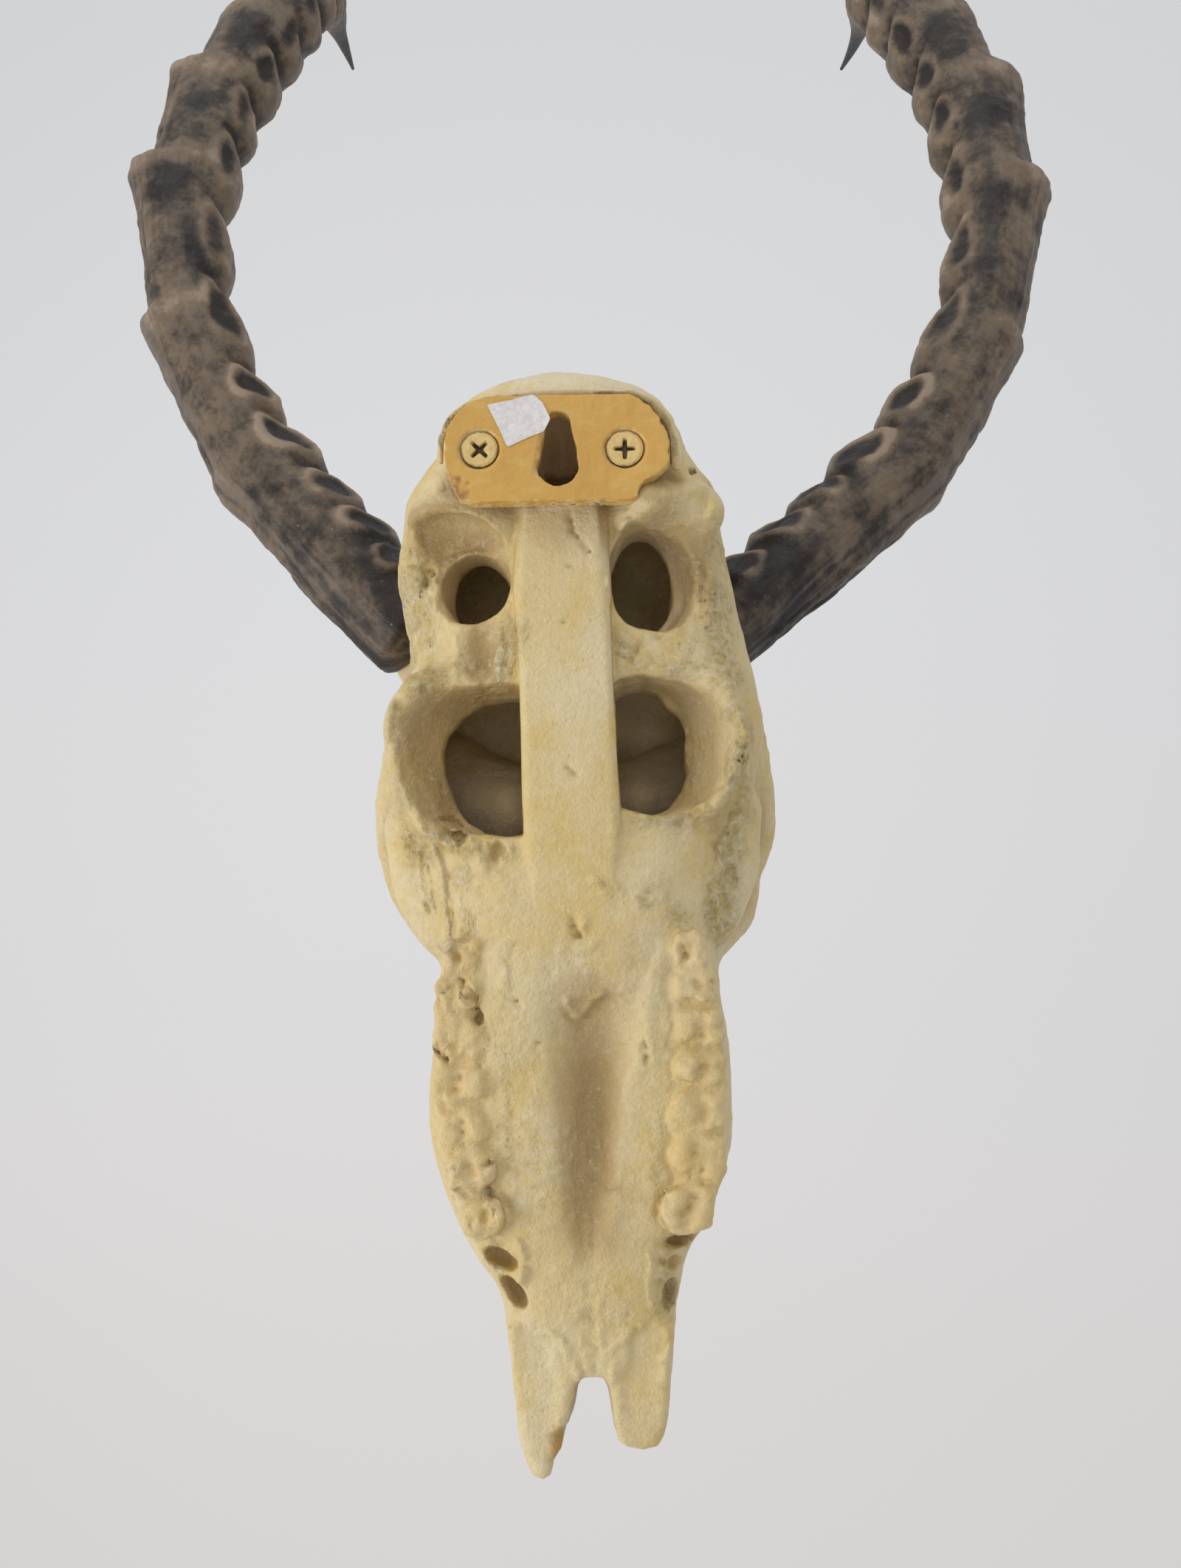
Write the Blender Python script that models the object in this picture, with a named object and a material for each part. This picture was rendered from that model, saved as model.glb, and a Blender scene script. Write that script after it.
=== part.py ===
# Antelope skull wall mount, in the pose in which it hangs.
# +Z is up, the wall is the plane Y = 0 and the face looks towards -Y.
# The origin is on the back of the hanger plate, just above its keyhole.
import math

import bmesh
import bpy
from mathutils import Matrix, Vector

MM = 0.001
GAP = 0.3 * MM

# Where the middle of the hanger plate lies below the origin.
PLATE_DROP = 10.8 * MM

# The skull and the pair of horns each lean a little, in opposite directions.
SKULL_LEAN = math.radians(1.8)
HORN_LEAN = math.radians(-1.8)
HORN_LEAN_HEIGHT = -30 * MM

SKULL_VOXEL = 1.5 * MM
SKULL_FACES = 4550

# Braincase and face: height, half width, wall side, face side, squareness.
CORE_STATIONS = [
    (26.5, 5.0, -20.0, -36.0, 2.0),
    (24.0, 14.0, -11.0, -46.0, 2.1),
    (18.5, 24.0, -4.0, -56.0, 2.3),
    (11.0, 28.4, -2.2, -62.0, 2.6),
    (3.0, 30.4, -3.0, -68.0, 2.6),
    (-8.0, 33.0, -9.5, -73.0, 2.6),
    (-20.0, 36.5, -10.0, -77.0, 2.7),
    (-34.0, 39.5, -9.5, -81.0, 2.8),
    (-48.0, 43.5, -9.5, -84.0, 2.9),
    (-58.0, 45.0, -9.5, -84.5, 2.9),
    (-68.0, 43.0, -9.5, -83.0, 2.8),
    (-80.0, 40.0, -8.5, -80.0, 2.6),
    (-92.0, 35.5, -7.0, -75.0, 2.5),
    (-104.0, 31.0, -7.0, -70.0, 2.4),
    (-116.0, 29.0, -8.5, -65.0, 2.4),
    (-130.0, 29.5, -9.5, -60.0, 2.4),
    (-146.0, 29.5, -11.0, -55.0, 2.4),
    (-158.0, 28.5, -12.0, -51.0, 2.4),
    (-166.0, 26.0, -13.5, -48.0, 2.4),
    (-173.0, 22.0, -15.0, -45.0, 2.4),
    (-180.0, 19.6, -16.5, -42.0, 2.5),
    (-189.0, 17.6, -18.0, -38.0, 2.7),
    (-198.5, 16.6, -19.5, -33.5, 2.9),
]
CORE_RING_POINTS = 48

# The two prongs at the end of the muzzle, of which the left one is longer and sharper.
PRONG_TOP = -190 * MM
PRONG_OUTER_TOP = 17.6 * MM
PRONG_INNER_TOP = 1.4 * MM
PRONG_INNER_TIP = 5.6 * MM
PRONG_WALL_SIDE = -19.0 * MM
PRONG_THICKNESS = 8.0 * MM
LEFT_PRONG_TIP = -221.0 * MM
LEFT_PRONG_OUTER_TIP = 13.0 * MM
RIGHT_PRONG_TIP = -215.5 * MM
RIGHT_PRONG_OUTER_TIP = 15.6 * MM

# The flat strip that runs down from the plate to the palate.
STRIP_HALF_WIDTH = 10.3 * MM
STRIP_TOP = 2.0 * MM
STRIP_BOTTOM = -94.0 * MM
STRIP_WALL_TOP = -5.6 * MM
STRIP_WALL_BOTTOM = -5.0 * MM
STRIP_DEPTH = 12.0 * MM

# Tooth rows.
TOOTH_COUNT = 7
TOOTH_FIRST = -107.0 * MM
TOOTH_PITCH = 9.3 * MM
TOOTH_WIDTH = 12.0 * MM
TOOTH_LENGTH = 9.6 * MM
TOOTH_DEPTH = 15.0 * MM
TOOTH_CROWN = -3.6 * MM
TOOTH_ROW_X = [23.4, 25.0, 26.4, 26.6, 25.4, 21.6]

# Occiput bulges beside and below the plate: centre, then half sizes.
BULGES = [
    ((31.0, -22.5, -4.0), (7.2, 11.0, 8.0)),
    ((34.5, -22.0, -15.0), (5.4, 10.0, 9.0)),
    ((36.0, -24.0, -29.0), (4.5, 13.0, 12.0)),
]

# Eye socket: rim centre, direction that it faces, radius and rim thickness.
EYE_CENTRE = Vector((35.0, -56.0, -72.0)) * MM
EYE_FACING = Vector((0.86, -0.5, 0.1))
EYE_RADIUS = 17.5 * MM
EYE_RIM = 4.2 * MM
EYE_SOCKET_DEPTH = 24.0 * MM

# Cheek bone that runs from the eye rim down to the teeth: centre line, radius.
CHEEK_ROUTE = [(41.0, -38.0, -60.0, 4.2), (42.4, -43.0, -78.0, 4.6), (41.6, -44.0, -90.0, 5.0),
               (36.5, -41.0, -101.0, 5.2), (28.0, -34.0, -110.0, 5.0)]

# The four holes in the back and the hollows around them, by side: X, Z and half sizes.
UPPER_HOLES = {1: (18.6, -28.0, 7.6, 8.4), -1: (-18.0, -25.5, 7.4, 10.2)}
UPPER_HOLE_DEPTH = 34.0 * MM
UPPER_HOLLOWS = {1: (22.5, -22.0, 11.5, 13.0), -1: (-23.0, -21.0, 12.0, 14.0)}
UPPER_HOLLOW_DEPTH = 17.0 * MM
LOWER_HOLES = {1: (19.2, -66.5, 8.8, 14.6), -1: (-19.0, -64.5, 8.6, 14.0)}
LOWER_HOLE_DEPTH = 38.0 * MM
LOWER_HOLLOWS = {1: (26.0, -66.0, 15.4, 19.0), -1: (-26.0, -65.0, 15.4, 18.5)}
LOWER_HOLLOW_DEPTH = 19.0 * MM

# Palate between the tooth rows: centre and half sizes of the valley.
PALATE_CENTRE = Vector((0.0, -6.0, -144.0)) * MM
PALATE_HALF = Vector((18.5, 14.0, 36.0)) * MM
PALATE_GROOVE_CENTRE = Vector((0.0, -14.0, -147.0)) * MM
PALATE_GROOVE_HALF = Vector((6.5, 11.0, 27.0)) * MM

# Nose opening in the face side of the muzzle: centre and half sizes.
NOSE_CENTRE = Vector((0.0, -46.0, -186.0)) * MM
NOSE_HALF = Vector((9.5, 17.0, 25.0)) * MM

# Horn route in millimetres (X, Y, Z) and the radius there.
HORN_ROUTE = [
    (36.4, -58.0, -29.2, 13.4),
    (53.2, -60.0, -13.8, 13.4),
    (69.4, -64.0, 3.4, 12.9),
    (86.6, -68.5, 21.8, 12.2),
    (95.0, -71.0, 34.8, 11.7),
    (102.6, -73.5, 48.5, 11.6),
    (109.6, -76.5, 65.0, 11.7),
    (114.5, -80.0, 82.0, 11.2),
    (117.5, -85.0, 101.0, 11.6),
    (118.6, -91.5, 121.0, 12.6),
    (117.0, -100.0, 143.5, 12.4),
    (112.3, -109.0, 166.5, 12.4),
    (104.0, -118.0, 188.0, 12.8),
    (95.5, -126.5, 206.0, 12.0),
    (89.6, -137.0, 219.5, 9.8),
    (88.0, -150.0, 226.5, 6.8),
    (90.5, -167.0, 228.5, 4.9),
    (94.5, -187.0, 226.5, 1.2),
]
# Knobs on the outer side of the bend: share of the route, height and half length.
HORN_KNOBS = [(0.2, 1.2, 0.02), (0.385, 1.8, 0.012), (0.525, 4.0, 0.016), (0.64, 2.6, 0.014), (0.735, 2.4, 0.014)]
HORN_SIDES = 14
HORN_RINGS = 14
HORN_LOOPS_PER_RING = 4
HORN_TIP_LOOPS = 8
HORN_RINGED_SHARE = 0.86
HORN_RIDGE = 1.7 * MM
HORN_SEAT_MARGIN = 2.2 * MM
HORN_SEAT_LENGTH = 30.0 * MM
PEDICLE_LENGTH = 26.0 * MM

# Hanger plate.
PLATE_THICKNESS = 4.0 * MM
PLATE_OUTLINE = [(24.4, 4.4), (23.0, 8.0), (19.5, 10.9), (15.0, 12.2), (-16.6, 12.4), (-20.6, 11.2),
                 (-23.8, 8.0), (-24.8, 3.6), (-25.0, -2.6), (-18.4, -7.0), (-18.0, -10.4),
                 (18.6, -10.4), (23.6, -6.4)]
KEYHOLE_X = -0.8 * MM
KEYHOLE_ROUND_Z = -3.0 * MM
KEYHOLE_ROUND_RADIUS = 4.5 * MM
KEYHOLE_SLOT_TOP = 9.2 * MM
KEYHOLE_SLOT_WIDTH = 6.5 * MM
KEYHOLE_POCKET_DEPTH = 7.0 * MM
KEYHOLE_POCKET_MARGIN = 1.5 * MM

# Two countersunk screws.
SCREW_PLACES = {"screw_left": (16.4 * MM, 0.6 * MM, 45.0), "screw_right": (-15.7 * MM, 0.8 * MM, 0.0)}
SCREW_HEAD_RADIUS = 4.0 * MM
SCREW_HEAD_DEPTH = 2.3 * MM
SCREW_SHANK_RADIUS = 1.75 * MM
SCREW_LENGTH = 16.0 * MM
SCREW_SINK = 0.3 * MM
SCREW_MARGIN = 0.45 * MM
RECESS_DEPTH = 1.5 * MM
RECESS_LENGTH = 4.6 * MM
RECESS_WIDTH = 1.1 * MM
ROUND_SIDES = 24


def clear_scene():
    for obj in list(bpy.data.objects):
        bpy.data.objects.remove(obj)


def make_material(name, color, roughness, metallic=0.0):
    material = bpy.data.materials.new(name)
    material.use_nodes = True
    shader = material.node_tree.nodes["Principled BSDF"]
    shader.inputs["Base Color"].default_value = (*color, 1.0)
    shader.inputs["Roughness"].default_value = roughness
    shader.inputs["Metallic"].default_value = metallic
    return material


def object_from_bmesh(name, bm):
    bmesh.ops.recalc_face_normals(bm, faces=bm.faces[:])
    mesh = bpy.data.meshes.new(name)
    bm.to_mesh(mesh)
    bm.free()
    obj = bpy.data.objects.new(name, mesh)
    bpy.context.scene.collection.objects.link(obj)
    return obj


def catmull_rom(points, share):
    # A point on the smooth curve through the points, with share from 0 to 1.
    spans = len(points) - 1
    place = min(max(share, 0.0), 1.0) * spans
    index = min(int(place), spans - 1)
    t = place - index
    p0 = points[max(index - 1, 0)]
    p1 = points[index]
    p2 = points[index + 1]
    p3 = points[min(index + 2, spans)]
    result = []
    for a, b, c, d in zip(p0, p1, p2, p3):
        value = 2 * b + (c - a) * t + (2 * a - 5 * b + 4 * c - d) * t ** 2
        value += (3 * b - a - 3 * c + d) * t ** 3
        result.append(value / 2)
    return result


def superellipse(half_x, half_y, squareness, count):
    points = []
    for step in range(count):
        angle = 2 * math.pi * step / count
        c = math.cos(angle)
        s = math.sin(angle)
        x = math.copysign(abs(c) ** (2 / squareness), c) * half_x
        y = math.copysign(abs(s) ** (2 / squareness), s) * half_y
        points.append((x, y))
    return points


def loft(name, rings):
    # One closed body through rings of equal point counts, with flat ends.
    bm = bmesh.new()
    loops = []
    for ring in rings:
        loops.append([bm.verts.new(point) for point in ring])
    for lower, upper in zip(loops, loops[1:]):
        for index in range(len(lower)):
            following = (index + 1) % len(lower)
            bm.faces.new((lower[index], lower[following], upper[following], upper[index]))
    bm.faces.new(loops[0][::-1])
    bm.faces.new(loops[-1])
    return object_from_bmesh(name, bm)


def ellipsoid(name, centre, half_sizes, segments=24):
    bm = bmesh.new()
    matrix = Matrix.Translation(centre) @ Matrix.Diagonal((*half_sizes, 1.0))
    bmesh.ops.create_uvsphere(bm, u_segments=segments, v_segments=segments // 2, radius=1.0, matrix=matrix)
    return object_from_bmesh(name, bm)


def cone_along(name, start, end, start_radius, end_radius, sides=ROUND_SIDES):
    axis = end - start
    turn = axis.to_track_quat("Z", "Y").to_matrix().to_4x4()
    matrix = Matrix.Translation((start + end) / 2) @ turn
    bm = bmesh.new()
    bmesh.ops.create_cone(bm, cap_ends=True, segments=sides, radius1=start_radius, radius2=end_radius,
                          depth=axis.length, matrix=matrix)
    return object_from_bmesh(name, bm)


def prism_y(name, outline, wall_side, face_side):
    # An outline in X and Z, swept along Y.
    rings = []
    for y in (wall_side, face_side):
        rings.append([Vector((x, y, z)) for x, z in outline])
    return loft(name, rings)


def tube(name, route, sides=12):
    # A smooth tube through (x, y, z, radius) points in millimetres.
    rings = []
    steps = 4 * (len(route) - 1)
    for step in range(steps + 1):
        x, y, z, radius = catmull_rom(route, step / steps)
        ring = []
        for side in range(sides):
            angle = 2 * math.pi * side / sides
            ring.append(Vector((x + radius * math.cos(angle), y + radius * math.sin(angle), z)) * MM)
        rings.append(ring)
    return loft(name, rings)


def apply_modifier(obj, kind, **values):
    modifier = obj.modifiers.new(kind.title(), kind)
    for key, value in values.items():
        setattr(modifier, key, value)
    bpy.ops.object.select_all(action="DESELECT")
    bpy.context.view_layer.objects.active = obj
    obj.select_set(True)
    bpy.ops.object.modifier_apply(modifier=modifier.name)


def cut(obj, tool):
    apply_modifier(obj, "BOOLEAN", operation="DIFFERENCE", solver="EXACT", object=tool)
    bpy.data.objects.remove(tool)


def join(objects):
    bpy.ops.object.select_all(action="DESELECT")
    for obj in objects:
        obj.select_set(True)
    bpy.context.view_layer.objects.active = objects[0]
    bpy.ops.object.join()
    return objects[0]


def core_body():
    rings = []
    steps = 4 * (len(CORE_STATIONS) - 1)
    for step in range(steps + 1):
        z, half_width, back, front, squareness = catmull_rom(CORE_STATIONS, step / steps)
        middle = (back + front) / 2
        outline = superellipse(half_width, (back - front) / 2, squareness, CORE_RING_POINTS)
        rings.append([Vector((x, middle + y, z)) * MM for x, y in outline])
    return loft("core", rings)


def muzzle_prong(name, side, tip, outer_tip):
    # A flat prong that narrows to a rounded tip.
    rings = []
    steps = 8
    for step in range(steps + 1):
        share = step / steps
        z = PRONG_TOP + (tip - PRONG_TOP) * share
        outer = PRONG_OUTER_TOP + (outer_tip - PRONG_OUTER_TOP) * share ** 2
        inner = PRONG_INNER_TOP + (PRONG_INNER_TIP - PRONG_INNER_TOP) * min(1.0, 1.3 * share)
        rounding = math.sqrt(max(0.06, 1 - max(0.0, share - 0.7) ** 2 / 0.09))
        half_x = (outer - inner) / 2 * rounding
        half_y = PRONG_THICKNESS / 2 * (1 - 0.3 * share)
        middle_x = side * (outer + inner) / 2
        middle_y = PRONG_WALL_SIDE - PRONG_THICKNESS / 2 - 4 * MM * share
        outline = superellipse(half_x, half_y, 2.6, ROUND_SIDES)
        rings.append([Vector((middle_x + x, middle_y + y, z)) for x, y in outline])
    return loft(name, rings)


def central_strip():
    edge = 1.2 * MM
    rings = []
    for z, wall in ((STRIP_TOP, STRIP_WALL_TOP), (STRIP_BOTTOM, STRIP_WALL_BOTTOM)):
        outline = [(-STRIP_HALF_WIDTH, wall - STRIP_DEPTH), (STRIP_HALF_WIDTH, wall - STRIP_DEPTH),
                   (STRIP_HALF_WIDTH, wall - edge), (STRIP_HALF_WIDTH - edge, wall),
                   (edge - STRIP_HALF_WIDTH, wall), (-STRIP_HALF_WIDTH, wall - edge)]
        rings.append([Vector((x, y, z)) for x, y in outline])
    return loft("strip", rings)


def tooth_row(side):
    teeth = []
    for number in range(TOOTH_COUNT):
        share = number / (TOOTH_COUNT - 1)
        x = catmull_rom([(value,) for value in TOOTH_ROW_X], share)[0] * MM
        z = TOOTH_FIRST - TOOTH_PITCH * number
        rings = []
        for level, spread in ((0.0, 0.45), (0.06, 0.8), (0.22, 1.0), (1.0, 1.06)):
            y = TOOTH_CROWN - TOOTH_DEPTH * level
            outline = superellipse(TOOTH_WIDTH / 2 * spread, TOOTH_LENGTH / 2 * spread, 2.8, 16)
            rings.append([Vector((side * x + u, y, z + v)) for u, v in outline])
        teeth.append(loft("tooth", rings))
    return teeth


def eye_rim(side):
    facing = Vector((side * EYE_FACING.x, EYE_FACING.y, EYE_FACING.z)).normalized()
    centre = Vector((side * EYE_CENTRE.x, EYE_CENTRE.y, EYE_CENTRE.z))
    turn = facing.to_track_quat("Z", "Y").to_matrix().to_4x4()
    bpy.ops.mesh.primitive_torus_add(major_radius=EYE_RADIUS, minor_radius=EYE_RIM,
                                     major_segments=32, minor_segments=12)
    rim = bpy.context.active_object
    rim.data.transform(Matrix.Translation(centre) @ turn)
    return rim


def eye_socket(side):
    facing = Vector((side * EYE_FACING.x, EYE_FACING.y, EYE_FACING.z)).normalized()
    centre = Vector((side * EYE_CENTRE.x, EYE_CENTRE.y, EYE_CENTRE.z))
    inner = centre - facing * EYE_SOCKET_DEPTH
    outer = centre + facing * 2 * EYE_RIM
    return cone_along("socket", inner, outer, EYE_RADIUS * 0.45, EYE_RADIUS * 1.08)


def horn_point(share, side):
    x, y, z, radius = catmull_rom(HORN_ROUTE, share)
    return Vector((side * x, y, z)) * MM


def horn_radius(share):
    return catmull_rom(HORN_ROUTE, share)[3] * MM


def horn_lean_matrix():
    pivot = Vector((0.0, 0.0, HORN_LEAN_HEIGHT))
    turn = Matrix.Rotation(HORN_LEAN, 4, "Y")
    return Matrix.Translation(pivot) @ turn @ Matrix.Translation(-pivot)


def horn_seat(side):
    # The room that the horn's foot takes beside the skull.
    lean = horn_lean_matrix()
    foot = lean @ horn_point(0.0, side)
    direction = (lean @ horn_point(0.02, side) - foot).normalized()
    radius = horn_radius(0.0) + HORN_SEAT_MARGIN
    return cone_along("seat", foot - direction * GAP, foot + direction * HORN_SEAT_LENGTH, radius, radius)


def horn_pedicle(side):
    # The bony stub that carries the horn.
    foot = horn_point(0.0, side)
    direction = (horn_point(0.02, side) - foot).normalized()
    radius = horn_radius(0.0)
    return cone_along("pedicle", foot - direction * PEDICLE_LENGTH, foot + direction * 2 * MM,
                      radius + 3 * MM, radius + 0.6 * MM)


def hole_cutter(hole, depth, taper):
    # A tapering shaft into the skull from the wall side.
    x, z, half_x, half_z = [value * MM for value in hole]
    rings = []
    for y, spread in ((2 * MM, 1.12), (-10 * MM, 1.0), (-depth, taper)):
        outline = superellipse(half_x * spread, half_z * spread, 2.3, ROUND_SIDES)
        rings.append([Vector((x + u, y, z + v)) for u, v in outline])
    return loft("hole", rings)


def build_skull():
    parts = [core_body(), central_strip()]
    parts.append(muzzle_prong("prong", 1, LEFT_PRONG_TIP, LEFT_PRONG_OUTER_TIP))
    parts.append(muzzle_prong("prong", -1, RIGHT_PRONG_TIP, RIGHT_PRONG_OUTER_TIP))
    hollows = []
    for side in (1, -1):
        parts.extend(tooth_row(side))
        parts.append(eye_rim(side))
        parts.append(horn_pedicle(side))
        parts.append(tube("cheek", [(side * x, y, z, radius) for x, y, z, radius in CHEEK_ROUTE]))
        for centre, half in BULGES:
            place = Vector((side * centre[0], centre[1], centre[2])) * MM
            parts.append(ellipsoid("bulge", place, Vector(half) * MM, 16))
        hollows.append(hole_cutter(UPPER_HOLLOWS[side], UPPER_HOLLOW_DEPTH, 0.5))
        hollows.append(hole_cutter(LOWER_HOLLOWS[side], LOWER_HOLLOW_DEPTH, 0.55))
        hollows.append(hole_cutter(UPPER_HOLES[side], UPPER_HOLE_DEPTH, 0.9))
        hollows.append(hole_cutter(LOWER_HOLES[side], LOWER_HOLE_DEPTH, 0.85))
        hollows.append(eye_socket(side))
    hollows.append(ellipsoid("palate", PALATE_CENTRE, PALATE_HALF))
    hollows.append(ellipsoid("groove", PALATE_GROOVE_CENTRE, PALATE_GROOVE_HALF))
    hollows.append(ellipsoid("nose", NOSE_CENTRE, NOSE_HALF))
    skull = join(parts)
    skull.name = "skull"
    apply_modifier(skull, "REMESH", mode="VOXEL", voxel_size=SKULL_VOXEL)
    for tool in hollows:
        cut(skull, tool)
    apply_modifier(skull, "REMESH", mode="VOXEL", voxel_size=SKULL_VOXEL)
    apply_modifier(skull, "SMOOTH", factor=0.5, iterations=2)
    apply_modifier(skull, "DECIMATE", ratio=SKULL_FACES / (2 * len(skull.data.polygons)))
    skull.data.transform(Matrix.Rotation(SKULL_LEAN, 4, "Y"))
    cut_fastening_places(skull)
    return skull


def cut_fastening_places(skull):
    # The seat of the plate, the pocket behind its keyhole, the screw holes and the feet of the horns.
    cut(skull, prism_y("seat", plate_outline(GAP), 6 * MM, -PLATE_THICKNESS - GAP))
    cut(skull, keyhole_tool(KEYHOLE_POCKET_MARGIN, -PLATE_THICKNESS, -PLATE_THICKNESS - KEYHOLE_POCKET_DEPTH))
    for x, z, turn in SCREW_PLACES.values():
        inner = Vector((x, -SCREW_LENGTH - 2 * MM, z))
        cut(skull, cone_along("pilot", inner, Vector((x, 0.0, z)), SCREW_SHANK_RADIUS + GAP,
                              SCREW_SHANK_RADIUS + GAP))
    for side in (1, -1):
        cut(skull, horn_seat(side))


def plate_outline(margin):
    # The plate's outline in metres, with every side moved outwards by the margin.
    points = [Vector(point) * MM for point in PLATE_OUTLINE]
    moved = []
    for index, point in enumerate(points):
        before = (point - points[index - 1]).normalized()
        after = (points[(index + 1) % len(points)] - point).normalized()
        normal = Vector((before.y, -before.x))
        middle = (normal + Vector((after.y, -after.x))).normalized()
        moved.append(point + middle * margin / middle.dot(normal))
    return moved


def keyhole_outline(margin):
    radius = KEYHOLE_ROUND_RADIUS + margin
    half_slot = KEYHOLE_SLOT_WIDTH / 2 + margin
    slot_centre = KEYHOLE_SLOT_TOP - KEYHOLE_SLOT_WIDTH / 2
    join_angle = math.acos(half_slot / radius)
    points = []
    for step in range(17):
        angle = math.pi - join_angle + (math.pi + 2 * join_angle) * step / 16
        points.append((KEYHOLE_X + radius * math.cos(angle), KEYHOLE_ROUND_Z + radius * math.sin(angle)))
    for step in range(9):
        angle = math.pi * step / 8
        points.append((KEYHOLE_X + half_slot * math.cos(angle), slot_centre + half_slot * math.sin(angle)))
    return points


def keyhole_tool(margin, wall_side, face_side):
    return prism_y("keyhole", keyhole_outline(margin), wall_side, face_side)


def build_plate():
    plate = prism_y("hanger_plate", plate_outline(0.0), 0.0, -PLATE_THICKNESS)
    cut(plate, keyhole_tool(0.0, 2 * MM, -PLATE_THICKNESS - 2 * MM))
    slope = (SCREW_HEAD_RADIUS - SCREW_SHANK_RADIUS) / SCREW_HEAD_DEPTH
    proud = 0.5 * MM
    narrow = SCREW_SHANK_RADIUS + SCREW_MARGIN
    wide = SCREW_HEAD_RADIUS + SCREW_MARGIN + slope * (SCREW_SINK + proud)
    for x, z, turn in SCREW_PLACES.values():
        inner = Vector((x, -SCREW_SINK - SCREW_HEAD_DEPTH, z))
        cut(plate, cone_along("sink", inner, Vector((x, proud, z)), narrow, wide))
        beyond = Vector((x, -PLATE_THICKNESS - 2 * MM, z))
        cut(plate, cone_along("bore", beyond, Vector((x, 0.0, z)), narrow, narrow))
    return plate


def build_screw(name, x, z, turn):
    levels = [(-SCREW_SINK, SCREW_HEAD_RADIUS), (-SCREW_SINK - 0.3 * MM, SCREW_HEAD_RADIUS),
              (-SCREW_SINK - SCREW_HEAD_DEPTH, SCREW_SHANK_RADIUS), (-SCREW_LENGTH + 3 * MM, SCREW_SHANK_RADIUS),
              (-SCREW_LENGTH, 0.4 * MM)]
    rings = []
    for y, radius in levels:
        outline = superellipse(radius, radius, 2.0, ROUND_SIDES)
        rings.append([Vector((x + u, y, z + v)) for u, v in outline])
    screw = loft(name, rings)
    for angle in (turn, turn + 90):
        half_length = RECESS_LENGTH / 2
        half_width = RECESS_WIDTH / 2
        corners = [(-half_length, -half_width), (half_length, -half_width), (half_length, half_width),
                   (-half_length, half_width)]
        c = math.cos(math.radians(angle))
        s = math.sin(math.radians(angle))
        outline = [(x + c * u - s * v, z + s * u + c * v) for u, v in corners]
        cut(screw, prism_y("recess", outline, 2 * MM, -SCREW_SINK - RECESS_DEPTH))
    return screw


def horn_relief(share, angle):
    # Crescent ridges, strongest on the inner side of the bend, and knobs on its outer side.
    inner = 0.5 - 0.5 * math.cos(angle)
    relief = 0.0
    for place, height, half_length in HORN_KNOBS:
        relief += height * MM * (1 - inner) ** 2 * math.exp(-((share - place) / half_length) ** 2)
    if share < HORN_RINGED_SHARE:
        phase = (share / HORN_RINGED_SHARE * HORN_RINGS) % 1.0
        wave = math.sin(math.pi * phase) ** 1.5
        relief += HORN_RIDGE * (wave - 0.4) * (0.3 + 0.7 * inner)
    return relief


def build_horn(name, side):
    ringed = HORN_RINGS * HORN_LOOPS_PER_RING
    shares = [HORN_RINGED_SHARE * step / ringed for step in range(ringed + 1)]
    for step in range(1, HORN_TIP_LOOPS + 1):
        shares.append(HORN_RINGED_SHARE + (1 - HORN_RINGED_SHARE) * step / HORN_TIP_LOOPS)
    rings = []
    for share in shares:
        point = horn_point(share, side)
        before = horn_point(share - 0.01, side)
        after = horn_point(share + 0.01, side)
        tangent = (after - before).normalized()
        sideways = Vector((side, 0.0, 0.0))
        outward = (sideways - tangent * sideways.dot(tangent)).normalized()
        wallward = tangent.cross(outward).normalized() * side
        ring = []
        for step in range(HORN_SIDES):
            angle = 2 * math.pi * step / HORN_SIDES
            reach = horn_radius(share) + horn_relief(share, angle)
            ring.append(point + (outward * math.cos(angle) + wallward * math.sin(angle)) * reach)
        rings.append(ring)
    horn = loft(name, rings)
    horn.data.transform(horn_lean_matrix())
    return horn


def main():
    clear_scene()
    bone = make_material("bone_resin", (0.74, 0.66, 0.44), 0.55)
    horn_resin = make_material("horn_resin", (0.06, 0.05, 0.045), 0.5)
    ochre_paint = make_material("ochre_paint", (0.72, 0.42, 0.12), 0.5, 0.1)
    pieces = [(build_skull(), bone), (build_plate(), ochre_paint)]
    for name, side in (("horn_left", 1), ("horn_right", -1)):
        pieces.append((build_horn(name, side), horn_resin))
    for name, (x, z, turn) in SCREW_PLACES.items():
        pieces.append((build_screw(name, x, z, turn), ochre_paint))
    for obj, material in pieces:
        obj.data.transform(Matrix.Translation((0.0, 0.0, -PLATE_DROP)))
        obj.data.materials.clear()
        obj.data.materials.append(material)
        obj.data.shade_smooth()
        obj.data.set_sharp_from_angle(angle=math.radians(35))


main()
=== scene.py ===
import itertools
import math

import bpy
import numpy as np
from mathutils import Matrix, Vector


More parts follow.
